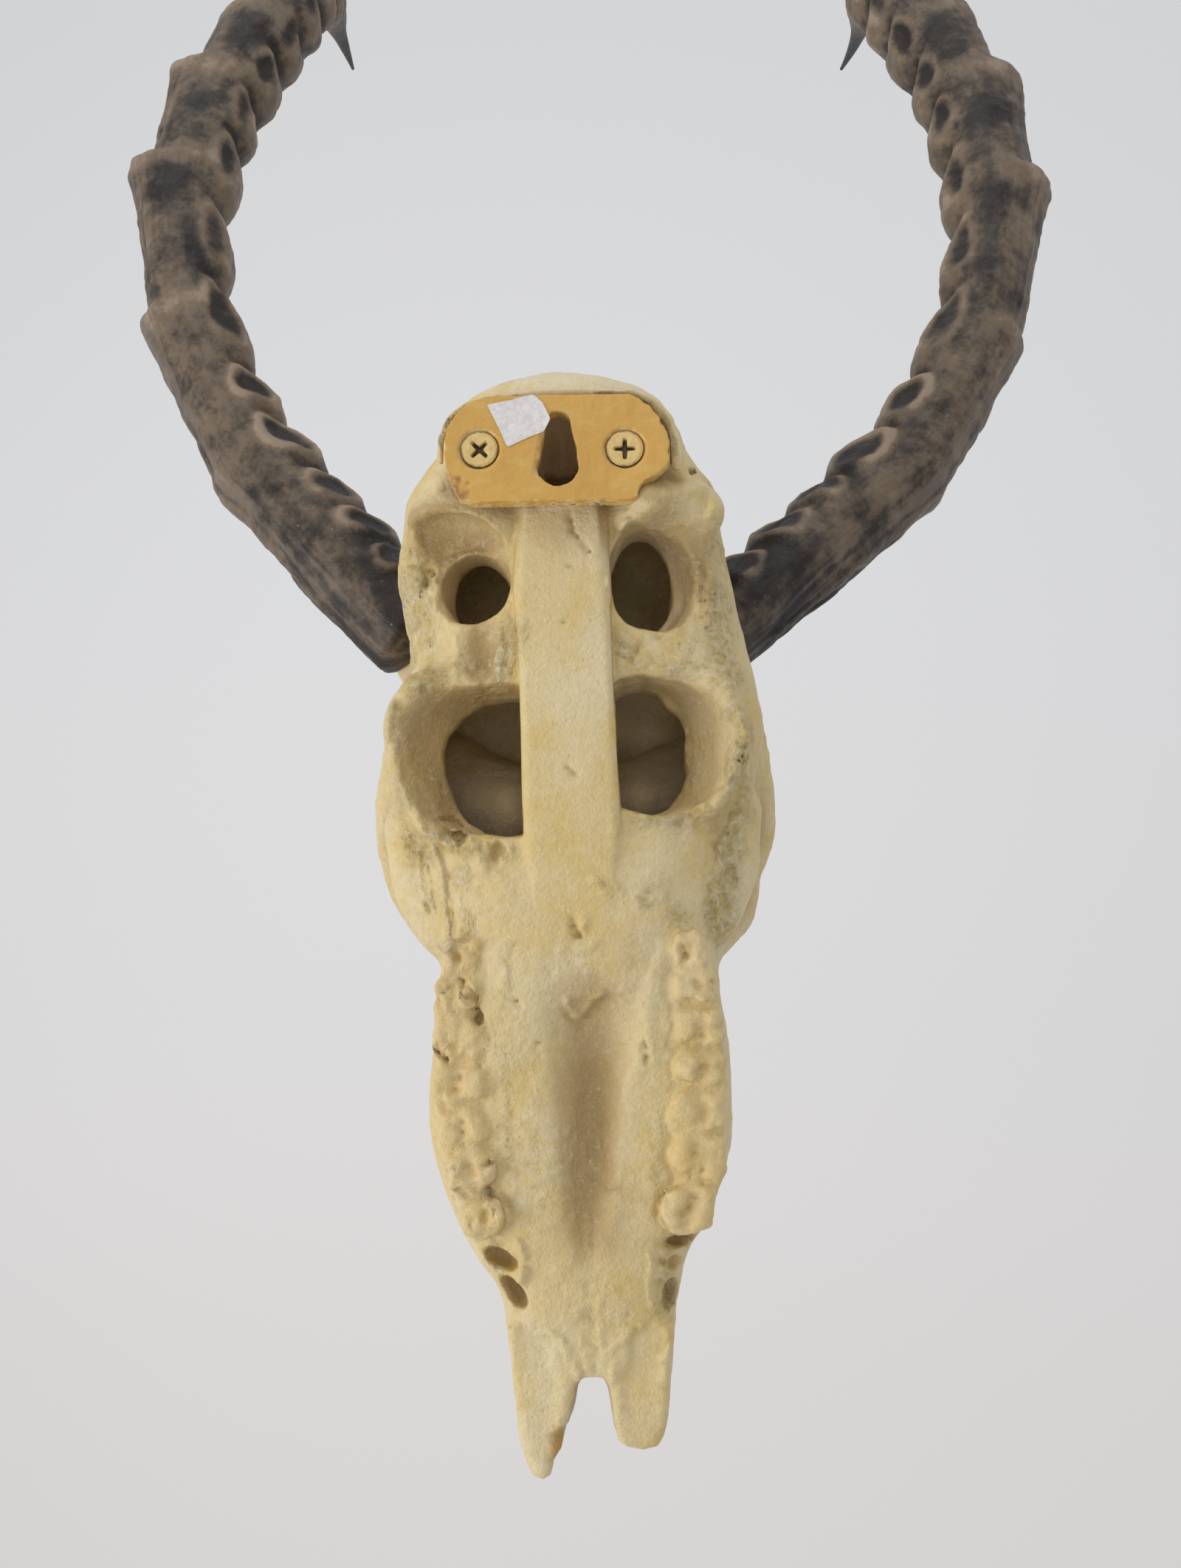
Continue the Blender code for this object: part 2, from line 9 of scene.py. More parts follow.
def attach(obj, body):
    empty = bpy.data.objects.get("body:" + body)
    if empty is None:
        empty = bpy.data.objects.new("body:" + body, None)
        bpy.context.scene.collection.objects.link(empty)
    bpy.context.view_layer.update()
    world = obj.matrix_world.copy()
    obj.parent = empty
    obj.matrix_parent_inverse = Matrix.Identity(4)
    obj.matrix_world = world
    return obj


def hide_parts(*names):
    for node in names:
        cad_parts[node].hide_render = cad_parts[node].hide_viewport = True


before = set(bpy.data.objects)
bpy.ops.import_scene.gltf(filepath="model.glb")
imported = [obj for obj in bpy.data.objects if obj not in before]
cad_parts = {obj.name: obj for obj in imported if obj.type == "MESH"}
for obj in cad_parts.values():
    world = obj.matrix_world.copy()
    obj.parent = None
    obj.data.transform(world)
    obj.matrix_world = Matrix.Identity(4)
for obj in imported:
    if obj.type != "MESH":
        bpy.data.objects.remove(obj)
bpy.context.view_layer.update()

mm = 0.001
bpy.ops.object.select_all(action="DESELECT")

# Shapes are worked out round the middle of the hanger plate and moved down to the frame at the end.
mount = {
    "plateDrop": 10.8,
    "skullLean": 1.8,
    "hornLean": -1.8,
    "hornLeanHeight": -30.0,
}


def settle(points):
    # millimetres round the plate's middle, to metres in the frame
    return (np.asarray(points, float) - (0, 0, mount["plateDrop"])) * mm


def leanAboutY(points, degrees, height=0.0):
    # turns the points about a level line that points at the wall
    c = math.cos(math.radians(degrees))
    s = math.sin(math.radians(degrees))
    x = points[:, 0]
    z = points[:, 2] - height
    return np.stack([c * x + s * z, points[:, 1], c * z - s * x + height], axis=1)


def smoothCurve(points, share):
    # a place on the smooth curve through the points, for shares from 0 to 1
    table = np.asarray(points, float)
    spans = len(table) - 1
    place = np.clip(np.asarray(share, float), 0, 1) * spans
    index = np.minimum(place.astype(int), spans - 1)
    t = (place - index)[..., None]
    a = table[np.maximum(index - 1, 0)]
    b = table[index]
    c = table[index + 1]
    d = table[np.minimum(index + 2, spans)]
    return (2 * b + (c - a) * t + (2 * a - 5 * b + 4 * c - d) * t ** 2 + (3 * b - a - 3 * c + d) * t ** 3) / 2


def lumps(points, size, seed):
    # soft random lumps of one size, from -1 to 1
    lattice = np.random.default_rng(seed).uniform(-1, 1, (40, 40, 40))
    place = np.asarray(points, float) / size + 400
    base = np.floor(place).astype(int)
    part = place - base
    part = part * part * (3 - 2 * part)
    total = np.zeros(len(place))
    for corner in itertools.product((0, 1), repeat=3):
        weight = np.prod(np.where(corner, part, 1 - part), axis=1)
        total += weight * lattice[tuple(((base + corner) % 40).T)]
    return total


def rampTo(values, start, end):
    # a soft step from 0 to 1 as the values go from start to end
    share = np.clip((values - start) / (end - start), 0, 1)
    return share * share * (3 - 2 * share)


# Clay: a box of small cells, each with its distance to the surface, to which forms are added and cut.
clayBox = {"low": (-57, -97, -226), "high": (57, 4, 34), "cell": 0.64}


def startClay():
    axes = []
    for low, high in zip(clayBox["low"], clayBox["high"]):
        axes.append(np.arange(low, high, clayBox["cell"], dtype=np.float32))
    values = np.full([len(axis) for axis in axes], 30, dtype=np.float32)
    return {"axes": axes, "values": values}


def softMin(first, second, soft):
    share = np.clip(0.5 + 0.5 * (first - second) / soft, 0, 1)
    return first + (second - first) * share - soft * share * (1 - share)


def work(clay, form, soft, cutting=False):
    # adds one form to the clay, or cuts it out, with a fillet of about soft millimetres
    low, high, distance = form
    margin = 2.5 * soft + 2
    window = []
    for axis, a, b in zip(clay["axes"], low, high):
        window.append(slice(*np.searchsorted(axis, (a - margin, b + margin))))
    window = tuple(window)
    places = [axis[part] for axis, part in zip(clay["axes"], window)]
    x, y, z = np.meshgrid(*places, indexing="ij", sparse=True)
    new = distance(x, y, z)
    old = clay["values"][window]
    if cutting:
        clay["values"][window] = -softMin(-old, new, soft)
    else:
        clay["values"][window] = softMin(old, new, soft)


def egg(centre, half, turn=(0, 0, 0)):
    # a stretched ball, turned by degrees about X, Y and Z
    rows = Matrix.Identity(3)
    for degrees, axis in zip(turn[::-1], "ZYX"):
        rows = rows @ Matrix.Rotation(math.radians(degrees), 3, axis)
    rows = np.array(rows.transposed())
    reach = [max(half)] * 3 if any(turn) else half
    low = np.array(centre) - reach
    high = np.array(centre) + reach

    def distance(x, y, z):
        offset = (x - centre[0], y - centre[1], z - centre[2])
        far = 0
        steep = 0
        for row, size in zip(rows, half):
            along = (row[0] * offset[0] + row[1] * offset[1] + row[2] * offset[2]) / size
            far = far + along ** 2
            steep = steep + (along / size) ** 2
        far = np.sqrt(far)
        return far * (far - 1) / (np.sqrt(steep) + 0.001)

    return low, high, distance


def rod(points, steps=0):
    # a round rod through (x, y, z, radius) points, smoothed when steps are given
    route = np.asarray(points, float)
    if steps:
        route = smoothCurve(route, np.linspace(0, 1, steps))
    widest = route[:, 3].max()
    low = route[:, :3].min(axis=0) - widest
    high = route[:, :3].max(axis=0) + widest

    def distance(x, y, z):
        nearest = None
        for a, b in zip(route, route[1:]):
            step = b - a
            t = (x - a[0]) * step[0] + (y - a[1]) * step[1] + (z - a[2]) * step[2]
            t = np.clip(t / (step[:3] @ step[:3]), 0, 1)
            gap = 0
            for place, start, run in zip((x, y, z), a, step):
                gap = gap + (place - start - t * run) ** 2
            gap = np.sqrt(gap) - a[3] - t * step[3]
            nearest = gap if nearest is None else np.minimum(nearest, gap)
        return nearest

    return low, high, distance


def hoop(centre, facing, radius, thickness):
    # a ring, such as the rim of an eye socket
    axis = np.array(facing) / np.linalg.norm(facing)
    low = np.array(centre) - radius - thickness
    high = np.array(centre) + radius + thickness

    def distance(x, y, z):
        offset = (x - centre[0], y - centre[1], z - centre[2])
        height = offset[0] * axis[0] + offset[1] * axis[1] + offset[2] * axis[2]
        out = np.sqrt(np.maximum(offset[0] ** 2 + offset[1] ** 2 + offset[2] ** 2 - height ** 2, 0))
        return np.sqrt((out - radius) ** 2 + height ** 2) - thickness

    return low, high, distance


def funnel(near, far, barSide=None, square=2.0):
    # a shaft into the wall side from (x, z, halfX, halfZ, y) to the same deeper down, cut off beside the bar
    x0, z0, hx0, hz0, y0 = near
    x1, z1, hx1, hz1, y1 = far
    low = (min(x0 - hx0, x1 - hx1), y1, min(z0 - hz0, z1 - hz1))
    high = (max(x0 + hx0, x1 + hx1), y0, max(z0 + hz0, z1 + hz1))

    def distance(x, y, z):
        t = np.clip((y - y0) / (y1 - y0), 0, 1)
        halfX = hx0 + (hx1 - hx0) * t
        halfZ = hz0 + (hz1 - hz0) * t
        across = (x - x0 - (x1 - x0) * t) / halfX
        up = (z - z0 - (z1 - z0) * t) / halfZ
        out = (np.abs(across) ** square + np.abs(up) ** square) ** (1 / square)
        gap = (out - 1) * np.minimum(halfX, halfZ)
        gap = np.maximum(gap, np.maximum(y - y0 - 3, y1 - y))
        if barSide is not None:
            gap = np.maximum(gap, (barSide - x) * math.copysign(1, barSide))
        return gap

    return low, high, distance


def slab(outline, wallSide, faceSide, rounding=0.0, flare=0.0, tilt=0.0):
    # an outline in X and Z between two depths; it can widen towards the wall and slope along Z
    corners = np.array(outline, float)
    spread = abs(flare) * (wallSide - faceSide)
    deepest = min(faceSide, faceSide + tilt * (corners[:, 1].min() - corners[:, 1].max()))
    low = (corners[:, 0].min() - spread, deepest, corners[:, 1].min() - spread)
    high = (corners[:, 0].max() + spread, wallSide, corners[:, 1].max() + spread)
    top = corners[:, 1].max()

    def distance(x, y, z):
        nearest = None
        inside = False
        for a, b in zip(corners, np.roll(corners, -1, axis=0)):
            step = b - a
            t = np.clip(((x - a[0]) * step[0] + (z - a[1]) * step[1]) / (step @ step), 0, 1)
            gap = (x - a[0] - t * step[0]) ** 2 + (z - a[1] - t * step[1]) ** 2
            nearest = gap if nearest is None else np.minimum(nearest, gap)
            rise = step[1] if step[1] else 1e-9
            inside = inside ^ (((a[1] > z) != (b[1] > z)) & (x - a[0] < step[0] * (z - a[1]) / rise))
        shift = tilt * (z - top)
        flat = np.sqrt(nearest) * np.where(inside, -1, 1) - flare * (y - faceSide - shift) + rounding
        thick = np.maximum(y - wallSide - shift, faceSide + shift - y) + rounding
        out = np.sqrt(np.maximum(flat, 0) ** 2 + np.maximum(thick, 0) ** 2)
        return out + np.minimum(np.maximum(flat, thick), 0) - rounding

    return low, high, distance


def drawSurface(clay, name):
    # one point in each cell that the surface passes through, and a face for each crossed cell edge
    values = clay["values"]
    inside = values < 0
    cells = [size - 1 for size in values.shape]
    count = np.zeros(cells, np.int8)
    for corner in itertools.product((0, 1), repeat=3):
        count += inside[tuple(slice(c, c + size) for c, size in zip(corner, cells))]
    active = (count > 0) & (count < 8)
    number = np.full(cells, -1, np.int32)
    number[active] = np.arange(np.count_nonzero(active))
    base = np.argwhere(active)
    total = np.zeros((len(base), 3))
    hits = np.zeros(len(base))
    for axis in range(3):
        step = np.eye(3, dtype=int)[axis]
        for corner in itertools.product((0, 1), repeat=3):
            if corner[axis]:
                continue
            first = values[tuple((base + corner).T)]
            second = values[tuple((base + corner + step).T)]
            crossed = (first < 0) != (second < 0)
            t = np.where(crossed, first / np.where(crossed, first - second, 1), 0)
            total += crossed[:, None] * (np.array(corner) + t[:, None] * step)
            hits += crossed
    points = np.array([axis[0] for axis in clay["axes"]]) + clayBox["cell"] * (base + total / hits[:, None])
    quads = []
    for axis in range(3):
        step = np.eye(3, dtype=int)[axis]
        first = inside[tuple(slice(1 - s, size) for s, size in zip(step, cells))]
        second = inside[tuple(slice(1, size + s) for s, size in zip(step, cells))]
        start = np.argwhere(first != second) + (1 - step)
        back1 = np.eye(3, dtype=int)[(axis + 1) % 3]
        back2 = np.eye(3, dtype=int)[(axis + 2) % 3]
        around = [start, start - back1, start - back1 - back2, start - back2]
        quad = np.stack([number[tuple(place.T)] for place in around], axis=1)
        leaving = inside[tuple(start.T)]
        quads.append(np.where(leaving[:, None], quad, quad[:, ::-1]))
    mesh = bpy.data.meshes.new(name)
    mesh.from_pydata(points.tolist(), [], np.concatenate(quads).tolist())
    piece = bpy.data.objects.new(name, mesh)
    bpy.context.scene.collection.objects.link(piece)
    return piece


def readPoints(piece):
    flat = np.empty(3 * len(piece.data.vertices), np.float32)
    piece.data.vertices.foreach_get("co", flat)
    return flat.reshape(-1, 3).astype(float)


def readNormals(piece):
    flat = np.empty(3 * len(piece.data.vertices), np.float32)
    piece.data.vertex_normals.foreach_get("vector", flat)
    return flat.reshape(-1, 3).astype(float)


def writePoints(piece, points):
    piece.data.vertices.foreach_set("co", np.asarray(points, np.float32).ravel())
    piece.data.update()


def keepValues(piece, name, values):
    # one value for each point, which a material reads by name
    attribute = piece.data.attributes.new(name, "FLOAT", "POINT")
    attribute.data.foreach_set("value", np.asarray(values, np.float32))


def sampleClay(clay, points):
    # the distance to the surface at any place
    place = (points - [axis[0] for axis in clay["axes"]]) / clayBox["cell"]
    place = np.clip(place, 0, np.array(clay["values"].shape) - 1.001)
    base = place.astype(int)
    part = place - base
    total = np.zeros(len(points))
    for corner in itertools.product((0, 1), repeat=3):
        weight = np.prod(np.where(corner, part, 1 - part), axis=1)
        total += weight * clay["values"][tuple((base + corner).T)]
    return total


def finishModifier(piece, kind, **values):
    modifier = piece.modifiers.new(kind.title(), kind)
    for key, value in values.items():
        setattr(modifier, key, value)
    bpy.ops.object.select_all(action="DESELECT")
    bpy.context.view_layer.objects.active = piece
    piece.select_set(True)
    bpy.ops.object.modifier_apply(modifier=modifier.name)


# Skull casting, in millimetres. A station is a height, the left and right edge, the wall and face side, and
# a squareness. A rod's route is X, Y, Z and radius. An egg is a centre, half sizes and turns in degrees.
# A funnel is X, Z, half sizes and depth, near and far. What both halves share is given for the left one.
skullForms = {
    "stations": [
        (25.6, 6.0, -6.0, -20.0, -36.0, 2.0), (23.6, 14.5, -15.0, -11.0, -46.0, 2.1),
        (19.0, 24.4, -25.2, -4.0, -56.0, 2.3), (13.0, 28.4, -28.8, -2.2, -62.0, 2.6),
        (7.0, 30.2, -30.8, -2.8, -66.0, 2.8), (2.6, 34.0, -33.6, -3.6, -69.0, 3.0),
        (-1.6, 37.2, -36.8, -5.0, -71.0, 3.2), (-8.0, 38.4, -37.6, -8.0, -74.0, 3.4),
        (-17.0, 40.0, -38.8, -9.5, -77.0, 3.6), (-26.0, 39.2, -40.2, -9.5, -79.0, 3.7),
        (-34.0, 37.8, -41.6, -9.5, -81.0, 3.7), (-41.0, 38.2, -43.4, -9.5, -83.0, 3.6),
        (-49.0, 42.5, -45.0, -9.5, -84.0, 3.5),
        (-58.0, 44.6, -45.8, -9.5, -84.5, 3.2), (-68.0, 43.6, -44.0, -9.5, -83.0, 3.0),
        (-80.0, 40.0, -40.5, -8.0, -80.0, 2.9), (-92.0, 35.5, -36.0, -6.8, -75.0, 2.9),
        (-104.0, 31.5, -32.0, -6.8, -70.0, 3.2), (-116.0, 31.2, -31.8, -7.8, -65.0, 3.8),
        (-130.0, 33.0, -33.0, -8.8, -60.0, 4.2), (-142.0, 34.0, -33.3, -9.8, -56.0, 4.2),
        (-152.0, 32.8, -32.4, -10.8, -52.0, 4.0), (-160.0, 30.8, -29.6, -11.8, -50.0, 3.6),
        (-167.0, 28.0, -27.2, -13.0, -48.0, 3.2), (-173.0, 24.6, -22.5, -14.2, -45.0, 3.2),
        (-179.0, 20.4, -20.2, -15.6, -42.0, 3.2), (-186.0, 18.4, -18.8, -17.0, -39.0, 3.4),
        (-193.0, 17.2, -17.8, -18.4, -35.0, 3.6), (-198.2, 16.8, -17.4, -19.5, -33.0, 3.8),
    ],
    "eyeCentre": (35.0, -56.0, -72.0),
    "eyeFacing": (0.86, -0.5, 0.1),
    "eyeRadius": 17.5,
    "eyeRim": 4.0,
    "eyeDepth": 24.0,
    "eyeMouth": 9.0,
    "eyeTaper": (0.42, 0.93, 1.02),
    "hornFoot": [(24, -57, -40, 15.5), (35.4, -58.1, -29.8, 13.2)],
    "nasal": [(4.6, -78, -82, 5.0), (4.8, -70, -108, 5.4), (4.6, -62, -132, 5.0), (4.0, -54.5, -156, 4.2),
              (3.2, -50.5, -170, 3.0)],
    "cheekBlade": [(17, -44, -150, 4.0), (14.5, -41, -172, 3.6), (12.5, -35, -190, 3.2),
                   (11.0, -29, -204, 2.6)],
    "cheek": {
        1: [(41.0, -38.0, -60.0, 4.2), (42.4, -43.0, -78.0, 4.4), (41.6, -44.0, -89.0, 4.6),
            (35.6, -41.0, -99.5, 4.6), (28.0, -34.0, -107.0, 4.6)],
        -1: [(-41.6, -38.0, -60.0, 4.2), (-41.8, -43.0, -78.0, 4.4), (-39.4, -44.0, -90.0, 4.4),
             (-37.0, -41.0, -100.0, 4.6), (-28.6, -34.0, -108.0, 4.6)],
    },
    "faceDents": [
        ((29, -63, -101), (7, 8, 12), (20, 0, -25), 4.0), ((14.5, -86, -46), (3.2, 5, 4.4), (0, 0, 0), 1.5),
        ((26, -47, -134), (3.4, 3.4, 4.6), (0, 0, 0), 1.5), ((44, -50, -36), (9, 12, 16), (0, 0, 0), 5.0),
    ],
    "faceSeam": [(1.0, -85, -52, 0.9), (11, -82.5, -66, 0.9), (14, -80, -84, 0.9), (9, -75, -104, 0.9),
                 (8, -66, -126, 0.9), (7, -58, -148, 0.9)],
    "middleSeam": [(0, -72, 4, 0.7), (0.4, -82, -30, 0.8), (-0.3, -86, -60, 0.9), (0, -81, -90, 0.9),
                   (0, -71, -120, 0.9), (0, -61, -150, 0.8)],
    "nose": [((0, -49, -187), (8.6, 16, 25), 3.0), ((0, -60, -196), (11, 12, 20), 4.0)],
    "brows": [
        [(29.4, -13.8, -9.6, 5.2), (25.0, -11.6, -8.6, 5.2), (19.0, -10.4, -10.4, 4.8),
         (13.8, -9.6, -13.0, 3.6)],
        [(-32.0, -14.6, -10.0, 5.6), (-27.5, -11.2, -8.4, 5.4), (-21.5, -8.6, -9.6, 5.0),
         (-16.5, -8.8, -13.5, 3.6)],
    ],
    "scoop": [(33.0, -11.4, -16.2, 3.8), (27.0, -10.6, -15.4, 5.8), (19.0, -10.0, -15.8, 5.2),
              (14.2, -9.6, -20.0, 2.4)],
    "bowlRims": [
        [(32.6, -14.2, -48.5, 3.8), (35.6, -14.0, -53.5, 4.5), (36.2, -14.0, -59.5, 4.8),
         (35.0, -13.8, -66.0, 4.8), (32.6, -13.4, -72.5, 4.6), (29.6, -12.4, -78.5, 4.0)],
        [(-33.4, -14.4, -49.5, 3.8), (-35.4, -14.0, -56.0, 4.6), (-35.8, -14.0, -63.0, 4.8),
         (-33.8, -13.6, -70.0, 4.6), (-30.2, -12.6, -76.0, 4.0)],
    ],
    "cheekSwelling": [(37.0, -25.0, -78.0, 6.0), (35.4, -26.0, -90.0, 6.5), (31.0, -26.0, -101.0, 6.0)],
    "upperBowls": [
        ((21.0, -24.5, 10.2, 9.6, -5), (20.0, -25.6, 8.5, 8.9, -14)),
        ((-24.8, -26.4, 12.4, 12.6, -3), (-18.8, -26.6, 8.2, 11.0, -19), -10.5),
    ],
    "lowerBowls": [
        ((23.0, -64.6, 15.6, 15.8, -8), (16.6, -66.0, 10.8, 15.4, -21), 8.0, 2.7),
        ((-24.4, -63.8, 13.8, 14.6, -8), (-17.2, -64.0, 9.8, 13.8, -20), -8.0, 2.4),
    ],
    "smallBowl": ((18.8, -7.8, -42.2), (3.9, 5.2, 6.8)),
    "wallThickness": 5.0,
    "room": {"wallSide": -23, "farSide": -50, "top": 4, "bottom": -90},
    "upperHoles": [
        ((20.0, -25.8, 8.6, 8.8, -10), (18.3, -26.7, 6.0, 8.2, -25)),
        ((-17.8, -26.2, 7.4, 11.6, -8), (-18.0, -25.4, 7.0, 12.0, -25)),
    ],
    "upperDoors": [
        [(8, -21), (24, -21), (24, -34), (8, -34)],
        [(-8, -18), (-25, -18), (-25, -37), (-8, -37)],
    ],
    "lowerHoles": [
        [(7.5, -50.6), (14.0, -50.2), (19.5, -51.0), (24.2, -53.8), (27.8, -58.0), (28.9, -62.4),
         (28.4, -67.6), (26.8, -73.0), (23.8, -78.0), (19.6, -81.0), (14.0, -81.8), (7.5, -81.6)],
        [(-8.0, -53.0), (-12.6, -50.2), (-17.0, -49.4), (-20.6, -50.6), (-22.0, -53.4), (-25.2, -56.0),
         (-26.4, -60.0), (-26.0, -64.0), (-26.3, -69.0), (-24.6, -74.0), (-21.6, -77.2), (-17.5, -78.4),
         (-12.5, -77.0), (-8.0, -76.0)],
    ],
    "bar": {
        "levels": [-120, -104, -92, -83, -45, -28, -8],
        "left": [10.4, 10.4, 10.2, 10.0, 9.7, 10.6, 9.2],
        "right": [11.6, 11.6, 11.5, 11.3, 10.7, 11.0, 10.9],
        "chamfer": [4.0, 3.4, 2.4, 1.3, 1.1, 1.7, 2.3],
        "front": [-10.4, -7.6, -6.1, -5.5, -5.1, -5.0, -5.3],
        "step": 0.45,
        "stepLevels": (-34.4, -33.2),
    },
    "valley": {
        "levels": [-176, -168, -160, -152, -140, -130, -118, -108],
        "middle": [-0.6, -1.0, -1.4, -1.9, -2.4, -3.8, -3.6, -3.4],
        "half": [3.0, 4.0, 5.0, 5.6, 6.2, 8.8, 12.6, 14.0],
        "floor": [-14.2, -15.0, -16.6, -17.8, -17.8, -14.8, -10.4, -7.4],
        "rise": [-14.4, -13.1, -11.9, -10.9, -9.8, -8.9, -8.0, -7.0],
    },
    "keyholePocket": ((-0.8, -12.0, 1.4), (6.4, 12.4, 11.2)),
    "barCrack": [(-3.0, -4.6, -11.5, 0.5), (-3.4, -4.8, -15.0, 0.35), (-4.8, -4.8, -18.6, 0.5),
                 (-5.8, -4.6, -21.0, 0.3), (-6.6, -4.4, -28.0, 0.1)],
    "leftProng": [(17.6, -187.0), (16.8, -197.5), (16.3, -205.0), (16.0, -210.0), (15.3, -214.6),
                  (13.6, -218.6), (11.2, -219.9), (9.2, -218.8), (8.8, -216.0), (7.0, -213.6), (6.2, -210.0),
                  (4.9, -207.5), (3.9, -203.8), (2.8, -200.1), (1.6, -198.2), (1.4, -187.0)],
    "rightProng": [(-2.2, -187.0), (-2.4, -198.2), (-3.4, -200.6), (-3.9, -204.0), (-4.2, -208.0),
                   (-5.0, -211.8), (-6.8, -213.3), (-10.6, -214.0), (-13.6, -213.4), (-15.2, -211.2),
                   (-16.2, -207.6), (-16.9, -202.5), (-17.4, -197.5), (-18.4, -187.0)],
    "prongSides": {"leftProng": -17.6, "rightProng": -17.8},
    "prongChip": ((5.2, -20.6, -212.4), (3.0, 5.0, 4.4), (0, 18, 0)),
    "browLump": ((-20.2, -4.2, -10.6), (4.0, 3.4, 3.6), (0, 40, 0)),
    "emptySockets": [
        ((18.2, -17.0, -172.6), (4.0, 5.0, 2.1), (0, -18, 0)),
        ((15.6, -18.3, -179.8), (1.9, 4.6, 4.0), (0, 38, 0)),
        ((-21.2, -17.2, -170.0), (4.2, 4.6, 1.5), (0, 0, 0)),
        ((-18.8, -18.4, -174.8), (1.8, 3.0, 1.6), (0, 0, 0)),
        ((-17.6, -19.8, -181.6), (1.7, 4.8, 3.6), (0, -10, 0)),
    ],
    "brokenPaint": ((6.6, -22, -213), (3.2, 6.5, 5.0)),
    "keyholePocketShade": ((-0.8, -10, 0), (7, 9, 11)),
    "creviceReach": 2.5,
    "hollowReach": 9.0,
    "dellReach": 17.0,
    "mostFaces": 196000,
}


def mirrored(route, side):
    # a route of the left half, on the left (1) or the right (-1)
    return [(x * side, *rest) for x, *rest in route]


def coreForm():
    # the body of the casting, from its sections one below the other
    stations = np.array(skullForms["stations"])
    heights = stations[:, 0]
    low = (-48, -90, heights[-1])
    high = (48, 0, heights[0])

    def distance(x, y, z):
        level = z.ravel()
        share = np.interp(-level, -heights, np.linspace(0, 1, len(heights)))
        table = smoothCurve(stations, share).astype(np.float32)
        centre = (table[:, 1] + table[:, 2]) / 2
        halfX = (table[:, 1] - table[:, 2]) / 2
        middle = (table[:, 3] + table[:, 4]) / 2
        halfY = (table[:, 3] - table[:, 4]) / 2
        power = table[:, 5]
        across = np.abs(x - centre) / halfX + 0.0001
        through = np.abs(y - middle) / halfY + 0.0001
        far = (across ** power + through ** power) ** (1 / power)
        steepX = (across / far) ** (power - 1) / halfX
        steepY = (through / far) ** (power - 1) / halfY
        gap = (far - 1) / np.sqrt(steepX ** 2 + steepY ** 2)
        return np.maximum(gap, np.maximum(z - heights[0], heights[-1] - z))

    return low, high, distance


def barForm():
    # the flat bar that runs down from the plate; its sloping sides widen where it fades into the palate
    bar = skullForms["bar"]
    low = (-14, -19, -118)
    high = (14, -4, -9)

    def distance(x, y, z):
        names = ("left", "right", "chamfer", "front")
        left, right, chamfer, front = [np.interp(z, bar["levels"], bar[name]) for name in names]
        front = front - bar["step"] * rampTo(z, *bar["stepLevels"])
        across = np.where(x > 0, x - left, -x - right)
        wall = y - front + 0.003 * (x + 1) ** 2
        slope = (across + wall + chamfer) * 0.7071
        gap = np.maximum(np.maximum(across, wall), slope)
        return np.maximum(gap, np.maximum(-18 - y, np.maximum(z + 9, -118 - z)))

    return low, high, distance


def valleyForm():
    # the trough of the palate: a wide shallow dish that narrows and deepens towards the nose
    valley = skullForms["valley"]
    low = (-26, -22, -178)
    high = (22, -4, -104)

    def distance(x, y, z):
        names = ("middle", "half", "floor", "rise")
        middle, half, floor, rise = [np.interp(z, valley["levels"], valley[name]) for name in names]
        away = np.abs(x - middle) / half
        return rise + 2 - (rise + 2 - floor) * np.exp(-away ** 2.2) - y

    return low, high, distance


def cutFaceSide(clay):
    # eye sockets, nose, and the dents and seams of the face
    facing = np.array(skullForms["eyeFacing"]) / np.linalg.norm(skullForms["eyeFacing"])
    for side in (1, -1):
        centre = np.array(skullForms["eyeCentre"]) * (side, 1, 1)
        towards = facing * (side, 1, 1)
        ends = (centre - towards * skullForms["eyeDepth"], centre, centre + towards * skullForms["eyeMouth"])
        socket = [(*end, skullForms["eyeRadius"] * share) for end, share in zip(ends, skullForms["eyeTaper"])]
        work(clay, rod(socket), 3.0, True)
        for (x, y, z), half, (turnX, turnY, turnZ), soft in skullForms["faceDents"]:
            work(clay, egg((x * side, y, z), half, (turnX, turnY, turnZ * side)), soft, True)
        work(clay, rod(mirrored(skullForms["faceSeam"], side), 26), 1.2, True)
    work(clay, rod(skullForms["middleSeam"], 30), 1.2, True)
    for centre, half, soft in skullForms["nose"]:
        work(clay, egg(centre, half), soft, True)


def addBrow(clay):
    # the swellings below the plate, the thin wall of resin that holds the plate's edge, and its pocket
    for brow in skullForms["brows"]:
        work(clay, rod(brow, 12), 4.0)
    collar = []
    for x, z in plateForms["outline"][:11]:
        radius = 1.0 if x > 10 else (1.5 if x < -18 else 1.1)
        out = 1 + 0.9 * radius / math.hypot(x, z)
        collar.append((x * out, -2.0 - radius, z * out, radius))
    work(clay, rod(collar), 1.6)
    pocket = [(x * 1.012, z * 1.012) for x, z in plateForms["outline"]]
    work(clay, slab(pocket, 4.0, -4.1), 0.3, True)


